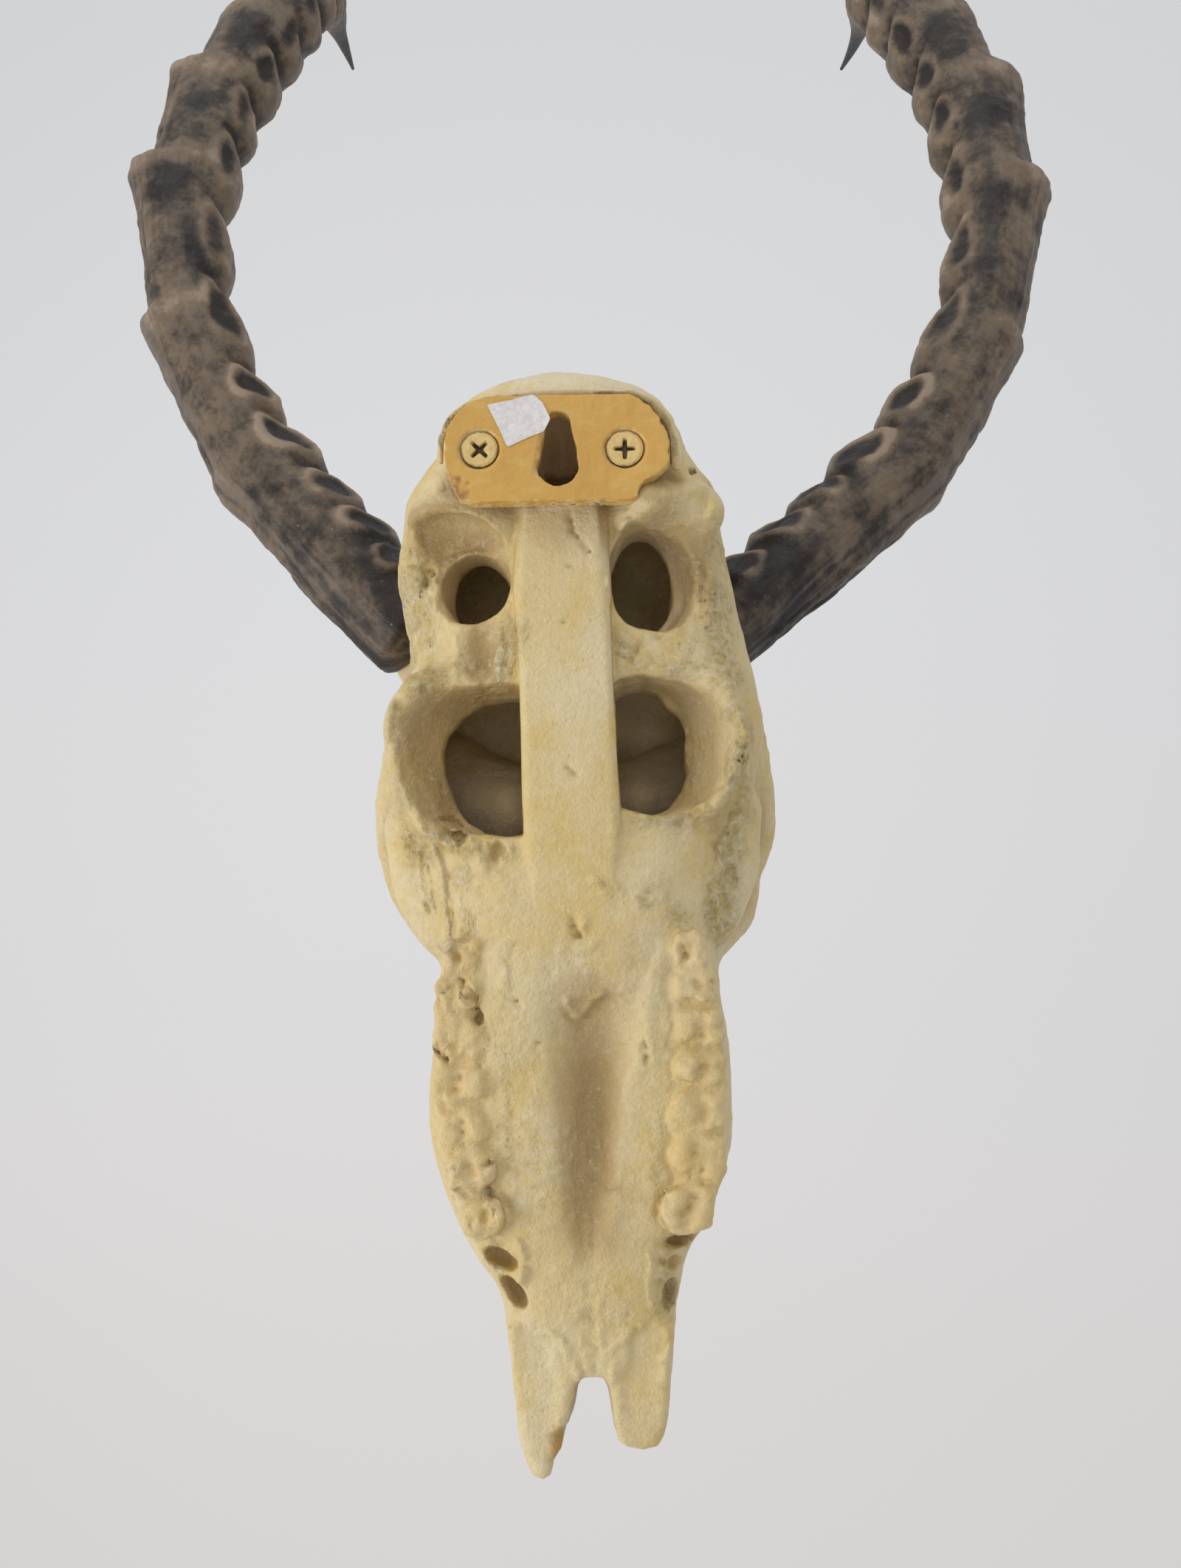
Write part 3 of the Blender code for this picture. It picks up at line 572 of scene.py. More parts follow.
def cutWallSide(clay):
    # the hollows below the plate, the bowls round the holes and the valley of the palate
    work(clay, rod(skullForms["scoop"], 10), 2.0, True)
    for rim in skullForms["bowlRims"]:
        work(clay, rod(rim, 14), 3.5)
    for side in (1, -1):
        work(clay, rod(mirrored(skullForms["cheekSwelling"], side), 8), 5.0)
    for bowl in skullForms["upperBowls"]:
        work(clay, funnel(*bowl), 1.6, True)
    for outline in skullForms["lowerHoles"]:
        work(clay, slab(outline, -6.0, -19.0, flare=0.12), 1.2, True)
    for bowl in skullForms["lowerBowls"]:
        work(clay, funnel(*bowl), 2.2, True)
    work(clay, egg(*skullForms["smallBowl"]), 1.6, True)
    work(clay, valleyForm(), 1.6, True)


def hollowOut(clay):
    # the room inside the casting, with an uneven far wall, left open behind the holes
    outside = clay["values"].copy()
    sides = skullForms["room"]
    x, y, z = np.meshgrid(*clay["axes"], indexing="ij", sparse=True)
    farWall = sides["farSide"] - y + 1.4 * np.sin(x / 5.1 + z / 9.3) + 1.2 * np.sin(z / 4.3 - x / 8.7)
    tall = np.maximum(z - sides["top"], sides["bottom"] - z)
    deep = np.maximum(np.maximum(y - sides["wallSide"], farWall), tall)
    room = np.maximum(outside + skullForms["wallThickness"], deep)
    clay["values"] = -softMin(-clay["values"], room, 2.0)
    for hole in skullForms["upperHoles"]:
        work(clay, funnel(*hole), 0.5, True)
    for outline in skullForms["lowerHoles"]:
        work(clay, slab(outline, -9.0, -30.0), 0.5, True)
    for outline in skullForms["upperDoors"]:
        work(clay, slab(outline, -22.5, -34.0, 3.0), 1.0, True)


# Cheek teeth in X and Z: the inner edge from the back of the row to its front, the outer edge back again,
# and the heights at which the crowns end.
toothRows = {
    1: {
        "inner": [(20.2, -105.4), (19.8, -111.2), (20.0, -114.6), (21.8, -120.6), (19.6, -125.4),
                  (19.5, -128.6), (21.2, -131.6), (19.0, -134.4), (18.9, -137.6), (20.9, -140.2),
                  (19.4, -144.3), (19.6, -148.6), (18.0, -151.7), (18.6, -155.6), (19.9, -157.9),
                  (16.9, -161.0), (16.3, -164.4), (18.6, -167.6)],
        "outer": [(22.8, -168.4), (24.8, -166.0), (26.4, -162.0), (27.6, -158.4), (28.8, -154.8),
                  (29.6, -150.0), (29.8, -146.4), (31.0, -141.4), (31.4, -136.6), (30.4, -131.2),
                  (31.0, -127.4), (30.4, -122.0), (30.6, -118.4), (29.0, -112.2), (27.0, -104.6)],
        "ends": [-103.6, -112.3, -121.2, -131.2, -140.1, -149.1, -157.9, -168.0],
    },
    -1: {
        "inner": [(-21.2, -106.0), (-20.6, -113.0), (-20.3, -118.6), (-21.0, -121.6), (-20.6, -128.4),
                  (-21.4, -130.6), (-20.4, -135.6), (-20.9, -138.8), (-19.2, -142.4), (-19.0, -146.0),
                  (-20.0, -148.0), (-18.4, -152.6), (-20.0, -157.2), (-17.0, -161.4), (-16.4, -165.0),
                  (-18.6, -167.6)],
        "outer": [(-24.6, -168.0), (-27.4, -163.8), (-28.4, -160.0), (-29.8, -156.8), (-30.8, -150.8),
                  (-30.8, -147.0), (-31.4, -142.0), (-31.4, -137.6), (-31.8, -132.6), (-31.0, -129.2),
                  (-30.9, -123.0), (-30.6, -118.0), (-29.4, -111.4), (-26.6, -104.8)],
        "ends": [-104.4, -113.0, -121.0, -129.5, -137.8, -147.1, -157.2, -168.0],
    },
}

# A cusp is its place across and along a crown and its half sizes, as shares of the crown, and a rise. A point
# of a groove is its place across, its rise, the least and most that it wanders along the row, and its radius.
toothForms = {
    "back": -7.9,
    "backZ": -104.0,
    "slope": 0.044,
    "cusps": ((-0.5, 0.08, 0.52, 0.76, 1.0), (0.52, 0.46, 0.42, 0.46, 0.6), (0.5, -0.44, 0.44, 0.44, 0.5),
              (-0.1, -0.1, 0.3, 0.4, 0.2)),
    "groove": ((-0.86, 0.2, -0.6, 0.6, 0.7), (-0.4, 0.3, 0.2, 1.2, 0.6), (0.3, 0.3, -0.8, 0.2, 0.6),
               (0.95, 0.1, -0.6, 0.6, 0.7)),
}


def crownPlaces(side):
    # middle, half width and half height of each crown
    row = toothRows[side]
    inner = np.array(row["inner"])
    outer = np.array(row["outer"])
    for top, bottom in zip(row["ends"], row["ends"][1:]):
        z = (top + bottom) / 2
        innerX = np.interp(-z, -inner[:, 1], inner[:, 0])
        outerX = np.interp(z, outer[:, 1], outer[:, 0])
        yield (innerX + outerX) / 2, z, abs(outerX - innerX) / 2, (top - bottom) / 2


def addTeeth(clay):
    # each row is one low worn block with uneven cusps and grooves between the crowns
    chance = np.random.default_rng(11)
    slope = toothForms["slope"]
    for side, row in toothRows.items():
        level = toothForms["back"]
        work(clay, slab(row["inner"] + row["outer"], level, -22.0, rounding=2.2, tilt=slope), 0.9)
        for number, (x, z, halfX, halfZ) in enumerate(crownPlaces(side)):
            crown = level + slope * (z - toothForms["backZ"]) - (0.8 if number == 0 else 0.1)
            for across, up, wide, tall, rise in toothForms["cusps"]:
                cuspX = x + side * across * halfX + chance.uniform(-0.5, 0.5)
                cuspZ = z + up * halfZ + chance.uniform(-0.4, 0.4)
                size = (wide * halfX, chance.uniform(1.5, 2.3), tall * halfZ)
                cusp = (cuspX, crown - 1.5 + rise + chance.uniform(-0.3, 0.3), cuspZ)
                work(clay, egg(cusp, size, (0, chance.uniform(-25, 25), 0)), 0.8)
            dimple = (x + chance.uniform(-1.2, 1.2), crown + 1.4, z + chance.uniform(-1.2, 1.2))
            work(clay, egg(dimple, (1.1, 2.0, 2.0), (0, chance.uniform(-60, 60), 0)), 0.7, True)
            if number == 0:
                continue
            groove = []
            for across, rise, least, most, radius in toothForms["groove"]:
                grooveZ = z + halfZ + chance.uniform(least, most)
                groove.append((x + side * across * halfX, crown + rise, grooveZ, radius))
            work(clay, rod(groove, 10), 1.2, True)


def buildSkullClay():
    clay = startClay()
    work(clay, coreForm(), 1.0)
    for side in (1, -1):
        mirror = np.array((side, 1, 1))
        centre = np.array(skullForms["eyeCentre"]) * mirror
        facing = np.array(skullForms["eyeFacing"]) * mirror
        work(clay, rod(skullForms["cheek"][side], 14), 3.0)
        work(clay, hoop(centre, facing, skullForms["eyeRadius"], skullForms["eyeRim"]), 4.0)
        work(clay, rod(mirrored(skullForms["hornFoot"], side)), 4.0)
        work(clay, rod(mirrored(skullForms["nasal"], side), 16), 2.5)
        work(clay, rod(mirrored(skullForms["cheekBlade"], side), 12), 2.5)
    addBrow(clay)
    cutWallSide(clay)
    cutFaceSide(clay)
    hollowOut(clay)
    work(clay, barForm(), 0.6)
    work(clay, egg(*skullForms["keyholePocket"]), 1.2, True)
    work(clay, rod(skullForms["barCrack"], 10), 0.3, True)
    for prong, wallSide in skullForms["prongSides"].items():
        work(clay, slab(skullForms[prong], wallSide, -28.0, rounding=2.4, tilt=0.14), 1.2)
    addTeeth(clay)
    for socket in skullForms["emptySockets"]:
        work(clay, egg(*socket), 0.7, True)
    work(clay, egg(*skullForms["browLump"]), 2.0)
    work(clay, egg(*skullForms["prongChip"]), 0.4, True)
    return clay


# Relief of the wall side: route in X and Z, reach, height (below zero for a groove), firmness.
wallRelief = [
    # brow, socket rim and lumps on the left
    ([(34, -10), (30.6, -8.8), (24.4, -10.6), (17.2, -13.2), (13.2, -18)], 2.2, 0.9, 1.1),
    ([(35, -21.5), (33.4, -23.4)], 3.4, 2.4, 1.2), ([(36.6, -16.4)], 3, 1.8, 1.2),
    ([(33, -13.2)], 2, 0.9, 1.2), ([(31, -19.4), (29.6, -22.8), (31.6, -26)], 1.5, -1.9, 1.4),
    ([(34.8, -18.8), (32.6, -19.6)], 1, -0.9, 1.3),
    ([(28.6, -29.5), (27.6, -22.4), (23.6, -18.6), (19, -17.6), (14.6, -19.4)], 1.3, 0.9, 1.3),
    ([(28.3, -31), (25, -34.6), (20, -35.6)], 1.4, 0.6, 1.1),
    ([(31.8, -14), (29.4, -13.4)], 0.9, -0.7, 1.2), ([(23.8, -37.5), (24, -47)], 1.6, 0.6, 1.1),
    ([(13.6, -37.5), (13.9, -47)], 1.6, 0.6, 1.1),
    # rim of the lower bowl on the left, with its pits
    ([(10.5, -51.6), (17.1, -49.8), (23.6, -49), (30, -48.6), (35.4, -48)], 1.7, 0.9, 1.2),
    ([(38.6, -52.5), (39.4, -58), (38.4, -63.6), (36, -70.2), (32.4, -76)], 1.8, 1.2, 1.1),
    ([(27.6, -78.6), (25.8, -80.2), (24, -82.8)], 2.4, -2.8, 1.5),
    ([(15.2, -85.4), (16.2, -88.2)], 1.8, -1.5, 1.3), ([(29.6, -81.6), (26, -85)], 1.5, 0.9, 1.1),
    ([(20.6, -84.4), (19, -90)], 2, 0.8, 1),
    ([(35.9, -72.8), (31.9, -81.2), (29.4, -88), (28.5, -95), (28.3, -103.4)], 1.7, 1.4, 1.1),
    ([(31.6, -88), (30.4, -99)], 1, -0.8, 1.2), ([(33.8, -84), (32.4, -98)], 0.9, -0.6, 1.2),
    ([(26.6, -90), (26.9, -101)], 0.9, -0.6, 1.2), ([(24.6, -92), (25, -103)], 0.9, 0.5, 1.2),
    # brow and bowls on the right
    ([(-12.3, -19), (-15.6, -15.4), (-23.3, -13.2), (-31, -13.6), (-35.6, -11.8)], 1.8, 0.9, 1.2),
    ([(-31.5, -6.3)], 3.2, 1.2, 1.2), ([(-35.5, -10.6)], 3, 1.5, 1.2), ([(-30.4, -1.4)], 1.4, -1.6, 1.6),
    ([(-36.4, -15), (-34.6, -20), (-34, -25.3), (-33.2, -31), (-32.6, -36)], 1.8, 1.2, 1.1),
    ([(-34.2, -25.6)], 2.2, 1.4, 1.2), ([(-32, -27.6), (-31.6, -31.6)], 1.2, -1, 1.3),
    ([(-10.9, -27.2), (-11.6, -31.2)], 1.3, 1.1, 1.5), ([(-24, -36.2), (-21, -39.6)], 1.2, -1.2, 1.3),
    ([(-12.4, -43.6), (-14.6, -44.8), (-17, -42), (-20, -45)], 0.9, -0.7, 1.2),
    ([(-19.6, -39.6), (-26, -37.6)], 1.1, 0.7, 1.1), ([(-16.4, -40.2), (-13.6, -40.8)], 1.4, 0.8, 1.1),
    ([(-15.1, -50.8), (-18.4, -50), (-24.8, -50.8), (-31.2, -51.6)], 1.6, 0.9, 1.2),
    ([(-20.1, -52.4), (-23, -55.2), (-25.6, -58.9)], 1.1, 1.3, 1.3),
    ([(-19, -51.6), (-20.4, -53.4)], 0.9, -1, 1.3),
    ([(-38.4, -58.6), (-40, -61.8), (-40.4, -65.4)], 1.6, 1.3, 1.2),
    ([(-40.2, -64.4), (-38.6, -67.8)], 1.4, -1.8, 1.4), ([(-36.8, -69.3), (-34.3, -73.3)], 1.8, 1.2, 1.1),
    ([(-35.2, -70.4), (-33, -74.6)], 1.1, -1.1, 1.2),
    ([(-28.9, -77.8), (-21.8, -80.4), (-15.5, -79.4)], 1.8, 1, 1.1), ([(-26, -79.6)], 1.5, -1.2, 1.3),
    ([(-38.1, -78.2), (-33.6, -86), (-31.6, -95.3), (-31.5, -106)], 1.7, 1.4, 1.1),
    ([(-33.6, -92), (-33.4, -104)], 1, -0.8, 1.2), ([(-29.4, -90), (-29.3, -103)], 0.9, -0.6, 1.2),
    ([(-35.6, -86), (-35, -99)], 1, -0.7, 1.2),
    # bar: the open crack and small marks
    ([(-3, -12), (-3.5, -14.8), (-3.3, -16.6), (-4.9, -18.8), (-5.9, -21)], 0.6, -1, 2),
    ([(-5.8, -21), (-6.6, -27.5)], 0.5, -0.35, 1.2), ([(-3.4, -23.2), (-1.4, -23.5)], 0.8, -0.6, 1.4),
    ([(-0.6, -36.7)], 0.9, -0.8, 1.4), ([(-0.8, -68.6), (-2.2, -71.6)], 0.9, -0.7, 1.4),
    ([(-0.4, -101.6), (-1.6, -104.8)], 1, -1.3, 1.5), ([(-2.4, -101.4), (-3, -104.2)], 0.9, 0.5, 1.3),
    # palate: the lines across it, its valley, small pits
    ([(-5.6, -94.1), (-10.2, -95.5), (-13.6, -97), (-17, -97.7)], 1, 0.7, 1.3),
    ([(-16.2, -97)], 1.5, -1, 1.4),
    ([(2.2, -118.4), (0.6, -121), (-1, -121.8), (-3.4, -119.1), (-6.5, -117.2), (-9, -117.5),
      (-12.6, -116.6)], 1.1, 1.1, 1.3),
    ([(2.2, -120.4), (-1.2, -123.6), (-3.8, -121.2), (-7, -119.2), (-12, -118.8)], 1.3, -0.7, 1.2),
    ([(2.6, -107.6), (-2, -107.8), (-5, -107.2)], 1.2, 0.5, 1.2), ([(12.2, -119)], 1.5, -1.2, 1.4),
    ([(4, -125.6)], 1.1, -0.6, 1.3), ([(-14.4, -128.6), (-14.7, -131.6)], 1, -1.5, 1.4),
    ([(4.1, -145.9)], 0.9, -0.7, 1.4), ([(4.1, -145.9)], 2.4, 0.3, 1),
    ([(8.6, -127.4), (9.6, -128.4)], 0.8, -0.7, 1.2),
    ([(-20.4, -107.6), (-18.2, -112.6), (-15.9, -118.3), (-15, -124), (-14.4, -129.5), (-11.6, -134.4),
      (-9.2, -138.1)], 2.8, 0.6, 1), ([(-0.9, -150), (-0.7, -160), (-0.5, -170)], 1.1, 0.5, 1),
    ([(3, -148.2), (3.5, -164)], 1.2, -0.3, 1), ([(-4.3, -145.4), (-3.4, -160)], 1.2, -0.25, 1),
    # teeth: the open crevice and the broken corner
    ([(24, -113), (22.6, -117.2), (20.9, -120.2), (21.6, -122.2)], 1.3, -2, 1.5),
    ([(30, -127.6), (28.6, -129.6)], 1.5, -2.2, 1.5), ([(19.4, -152)], 1.2, -1.6, 1.4),
    ([(19.6, -158.2)], 1.3, -1.6, 1.4),
    # empty tooth sockets and the muzzle
    ([(22.8, -169.2), (18.4, -170.4), (15.4, -171.8)], 2.6, -0.8, 1.4),
    ([(14.6, -169.2), (13, -171.6)], 1.6, 0.9, 1.3),
    ([(18.4, -174.8), (16.6, -178.4), (15.2, -181)], 1.7, -0.8, 1.4), ([(13.8, -176.6)], 2.2, 1.7, 1.5),
    ([(-16.6, -170.2), (-22.4, -169)], 2.2, -0.8, 1.4), ([(-15.9, -174)], 1.4, -1.5, 1.5),
    ([(-13.6, -172.6), (-13.4, -178), (-14.2, -184)], 1.2, 0.8, 1.3),
    ([(-15.6, -178.8), (-16.2, -182.6)], 1.7, -0.8, 1.4),
    ([(17.4, -185), (15, -186.6), (9.6, -187.8), (6.2, -190.4), (3.4, -195), (2.4, -200)], 1.1, 0.7, 1.2),
    ([(-18.6, -185), (-16, -187.2), (-10, -187.6), (-6.6, -190), (-5, -193), (-4.4, -199)], 1.1, 0.7, 1.2),
    ([(12.6, -191), (11.6, -200), (11.8, -213)], 5.6, -1, 1.8),
    ([(-12.4, -191), (-10.8, -200), (-10.6, -209)], 5.6, -1, 1.8),
    ([(-0.6, -184), (-0.9, -197)], 0.8, -0.5, 1.2), ([(1.6, -180), (1.3, -196)], 0.7, 0.35, 1.2),
    ([(-2.9, -181), (-3, -196)], 0.8, 0.35, 1.2), ([(-8.2, -184), (-8, -187)], 0.7, -0.6, 1.2),
]

# Stains, and painted shade in open crevices, pits and the gap round the plate: route in X and Z, reach,
# strength.
stainAndShadeRoutes = [
    ([(-2, 25), (-9, 23.6), (-15, 21.2)], 0.6, 0.6), ([(-5.3, -158.6), (-7.6, -158.2)], 1.1, 0.45),
    ([(-30.4, -1.4)], 1.4, 0.8), ([(26.4, -54.6), (25.6, -57)], 0.8, 0.5), ([(19.4, -152.2)], 1, 0.8),
    ([(19.9, -157.6), (19, -158.8)], 1.1, 0.8), ([(29.6, -128), (28.6, -129.8)], 1, 0.6),
    ([(-27, -167.8)], 0.9, 0.7), ([(21.2, -120.2), (21.8, -122)], 0.8, 0.6), ([(-14.6, -130.2)], 0.8, 0.6),
    ([(24.9, 2.2), (24.8, 5.4), (22.7, 9.9), (18.8, 12.8), (15, 13.7), (8, 13.9)], 0.7, 1),
    ([(-9.5, 13.9), (-17.2, 13.8), (-21.5, 11.1), (-24.5, 7), (-25.9, 2.6), (-26.1, -1)], 0.7, 1),
    ([(26, -2.2), (25.2, -4.6)], 0.7, 0.8),
]
# Painted shade in hollows and under the plate: route in X and Z, reach, strength.
shadeRoutes = [
    ([(31, -14.5), (24, -13.6), (17.5, -15.5)], 6.4, 1), ([(30, -19), (28.4, -23.2)], 3.4, 0.8),
    ([(-20, -17.6), (-27, -19.4), (-29, -25)], 8.5, 0.85),
    ([(18, -52), (29, -53), (33.5, -59), (31.5, -67), (27, -75)], 7, 0.85),
    ([(18.4, -37.6), (17.9, -47.6)], 5.8, 1), ([(-24, -52), (-30, -58), (-30, -68), (-24, -76)], 6, 0.6),
    ([(-3.4, -120), (-3.2, -134), (-3.2, -150), (-1.5, -166)], 11.5, 0.85),
    ([(-5.6, -128), (-4.2, -142)], 8.5, 0.66), ([(-3.4, -142), (-2.2, -158)], 4.6, 0.6),
    ([(-1, -12.5), (-1, -16)], 9, 0.35), ([(33, -9.8), (25, -9.8)], 5, 0.9),
    ([(-12, -108), (-8, -124)], 8, 0.35),
]

# Areas with open pores and small crusts: route in X and Z, reach, strength.
porousRoutes = [
    ([(35.5, -21), (34, -33), (33, -46)], 8.5, 1), ([(11.5, -38), (16, -46), (29, -46)], 7, 0.8),
    ([(38, -54), (39, -66), (36, -78)], 4.5, 0.8), ([(31, -79), (24, -84), (14, -86)], 6, 0.9),
    ([(36, -80), (31, -92), (29, -105)], 6, 1), ([(24, -90), (23, -103)], 4.5, 0.7),
    ([(-34, -17), (-34.5, -34), (-36, -50)], 8, 0.9), ([(-12, -41), (-20, -44), (-32, -45)], 7.5, 0.9),
    ([(-38, -57), (-39.5, -66), (-36, -76)], 6, 0.9), ([(-12, -81), (-22, -82), (-32, -80)], 6, 0.8),
    ([(-38, -80), (-34, -92), (-31.5, -106)], 6.5, 1), ([(-18, -94), (-24, -103)], 5, 0.7),
    ([(20, -170), (15.5, -184)], 3.5, 0.6), ([(-18, -170), (-16, -184)], 3.5, 0.6),
    ([(27, -16), (17, -14)], 5, 0.5), ([(-32, -5), (-24, -11)], 5, 0.5), ([(-6, -94), (-16, -99)], 3, 0.6),
    ([(14.5, -106), (15.5, -134), (15, -160)], 3.5, 0.45),
    ([(-17, -112), (-16.5, -140), (-14, -164)], 3, 0.35),
]


def strokeShare(flat, route, reach, firmness=1.0):
    # 1 on a route over the wall side and 0 beyond its reach
    line = np.array(route, float)
    if len(line) > 2:
        line = smoothCurve(line, np.linspace(0, 1, 6 * len(line)))
    elif len(line) == 1:
        line = np.concatenate([line, line + 0.01])
    inBox = (flat > line.min(axis=0) - reach) & (flat < line.max(axis=0) + reach)
    close = np.flatnonzero(np.all(inBox, axis=1))
    nearest = np.full(len(close), 1e6)
    for a, b in zip(line, line[1:]):
        step = b - a
        offset = flat[close] - a
        t = np.clip(offset @ step / (step @ step), 0, 1)
        nearest = np.minimum(nearest, np.sum((offset - t[:, None] * step) ** 2, axis=1))
    share = np.zeros(len(flat))
    t = np.clip(firmness * (1 - np.sqrt(nearest) / reach), 0, 1)
    share[close] = t * t * (3 - 2 * t)
    return share


def toothRelief():
    # worn folds and pits of each crown, and the line where the row meets the palate
    chance = np.random.default_rng(12)
    strokes = []
    for side, row in toothRows.items():
        for x, z, halfX, halfZ in crownPlaces(side):
            for _ in range(3):
                pitX = x + chance.uniform(-0.7, 0.7) * halfX
                pitZ = z + chance.uniform(-0.6, 0.6) * halfZ
                turn = chance.uniform(-1, 1)
                fold = [(pitX, pitZ), (pitX + 1.2 * turn, pitZ - 1.2), (pitX + 0.4 * turn, pitZ - 2.4)]
                strokes.append((fold, chance.uniform(0.6, 1.0), chance.uniform(-0.8, 0.3), 1.2))
        beside = [(x - 0.7 * side, z) for x, z in row["inner"][1:]]
        strokes.append((beside, 0.9, -0.35, 1.2))
    return strokes


def closeness(clay, points, normals, reach):
    # 1 where the surface meets more casting within its reach, 0 in the open
    return np.clip(1 - sampleClay(clay, points + normals * reach) / reach, 0, 1)


def readRecesses(clay, points, normals):
    # how far each point lies in a crevice, in a hollow, in a wide dell or in the room inside the casting
    x, y, z = points.T
    crevice = closeness(clay, points, normals, skullForms["creviceReach"])
    hollow = closeness(clay, points, normals, skullForms["hollowReach"])
    dell = 0.5 * closeness(clay, points, normals, skullForms["dellReach"]) + 0.5 * hollow
    cheekSide = rampTo(np.abs(x), 26, 32) * rampTo(z, -76, -86)
    inRoom = rampTo(y, -24, -32) * (0.15 + 0.65 * rampTo(z, -44, -38))
    dell = dell * (1 - 0.85 * cheekSide) * (1 - inRoom)
    # the room inside the casting and the pocket behind the keyhole are painted darker as painted shade, the
    # upper rooms lighter as painted light
    upperRight = (x < -8) & (z > -42)
    roomShadeAndLight = np.clip((-y - np.where(upperRight, 12.0, 19.0)) / 6, 0, 1) * hollow
    centre, half = skullForms["keyholePocketShade"]
    behindKeyhole = np.clip(1.6 - np.linalg.norm((points - centre) / half, axis=1), 0, 1) * 3
    roomShadeAndLight = np.maximum(roomShadeAndLight, np.clip(behindKeyhole, 0, 1) * (z > -11))
    return {"crevice": crevice, "hollow": hollow, "dell": dell, "roomShadeAndLight": roomShadeAndLight}


def paintWallSide(points, normals, masks):
    # the relief of the wall side, and the masks that are painted on it along slightly wandering routes
    onWall = np.flatnonzero((points[:, 1] > -27) & (normals[:, 1] > 0.1))
    near = points[onWall]
    wander = np.stack([lumps(near, 2.6, 7), lumps(near, 2.6, 8)], axis=1)
    wander += 0.6 * np.stack([lumps(near, 1.2, 9), lumps(near, 1.2, 10)], axis=1)
    flat = near[:, [0, 2]] + 0.75 * wander
    facing = np.clip(1.8 * normals[onWall, 1], 0, 1)
    uneven = np.clip(0.75 + 0.75 * lumps(near, 1.0, 13) + 0.4 * lumps(near, 2.4, 14), 0.1, 1.3)
    crevice = masks["crevice"]
    height = np.zeros(len(points))
    for route, reach, rise, firmness in wallRelief + toothRelief():
        share = strokeShare(flat, route, reach, firmness) * facing * (uneven if reach < 1.6 else 1)
        height[onWall] += rise * share
        # a groove also darkens as a crevice: partly the casting's brown wash, partly painted shade
        if rise < 0 and reach < 4:
            crevice[onWall] = np.maximum(crevice[onWall], share * min(1.0, 0.1 - 0.36 * rise))
    for name, routes in (("stainAndShade", stainAndShadeRoutes), ("shade", shadeRoutes), ("porous", porousRoutes)):
        painted = np.zeros(len(points))
        for route, reach, strength in routes:
            share = strength * strokeShare(flat, route, reach, 1.1)
            painted[onWall] = np.maximum(painted[onWall], share)
        masks[name] = painted
    return height


def markTeeth(points, masks):
    # the crowns, on which crevices are weaker and the finish is warmer
    x, y, z = points.T
    inRow = np.zeros(len(points))
    for side in (1, -1):
        for crownX, crownZ, halfX, halfZ in crownPlaces(side):
            reach = ((x - crownX) / (halfX + 1.0)) ** 2 + ((z - crownZ) / (halfZ + 1.0)) ** 2
            inRow = np.maximum(inRow, np.clip(2.4 - 2 * reach, 0, 1))
    masks["crevice"] = masks["crevice"] * (1 - 0.35 * inRow)
    masks["tooth"] = inRow * np.clip((y + 13) / 3, 0, 1)
    return inRow


def grainRelief(points, masks, inRow):
    # the small lumps and open pores of the casting, in millimetres; the bar and the muzzle stay plainer
    x, y, z = points.T
    onBar = rampTo(np.abs(x), 14.0, 10.0) * rampTo(z, -112, -92) * rampTo(y, -12, -8)
    patchy = np.clip(0.75 + 0.7 * lumps(points, 6, 1), 0.2, 1)
    elsewhere = 0.32 * np.clip(0.6 + 0.9 * lumps(points, 14, 1), 0.15, 1) * (1 - onBar)
    porous = np.maximum(masks["porous"] * patchy, elsewhere)
    porous = porous * (1 - 0.75 * np.clip(2 * masks["hollow"] - 0.6, 0, 1))
    porous *= 1 - 0.85 * rampTo(z, -185, -192)
    masks["porous"] = porous
    relief = 0.3 * (1 - 0.7 * onBar) * lumps(points, 5, 2) + 0.55 * porous * lumps(points, 2.6, 3)
    crusts = 0.46 * np.maximum(porous, 0.7 * inRow) * lumps(points, 1.3, 4)
    relief += crusts + 0.6 * masks["roomShadeAndLight"] * lumps(points, 6, 5)
    relief += 0.5 * inRow * lumps(points, 2.4, 15)
    pores = np.clip(lumps(points, 1.9, 6) - 0.42, 0, 1) * porous
    return relief - 1.4 * pores


def thinSkull(skull, points):
    # fewer faces, taken mostly from the unseen walls of the room, then from its others and the face side
    group = skull.vertex_groups.new(name="plainer")
    facing = readNormals(skull)
    facesCore = np.sum(facing * (points * (1, 1, 0) + (0, 42, 0)), axis=1) < 0
    insideWall = facesCore & (points[:, 1] < -25) & (points[:, 2] < 6) & (points[:, 2] > -94)
    hidden = insideWall & ((facing[:, 1] < -0.3) | (np.abs(points[:, 0]) > 36))
    plainer = 0.25 * np.clip((-points[:, 1] - 20) / 8, 0, 1)
    plainer[insideWall] = 0.5
    plainer[hidden] = 1.0
    for weight in (0.25, 0.5, 1.0):
        chosen = np.flatnonzero((plainer > weight - 0.25) & (plainer <= weight))
        group.add(chosen.tolist(), weight, "REPLACE")
    writePoints(skull, settle(points))
    ratio = skullForms["mostFaces"] / (2 * len(skull.data.polygons))
    finishModifier(skull, "DECIMATE", ratio=min(1.0, ratio), vertex_group="plainer", vertex_group_factor=2.0)
    skull.vertex_groups.clear()


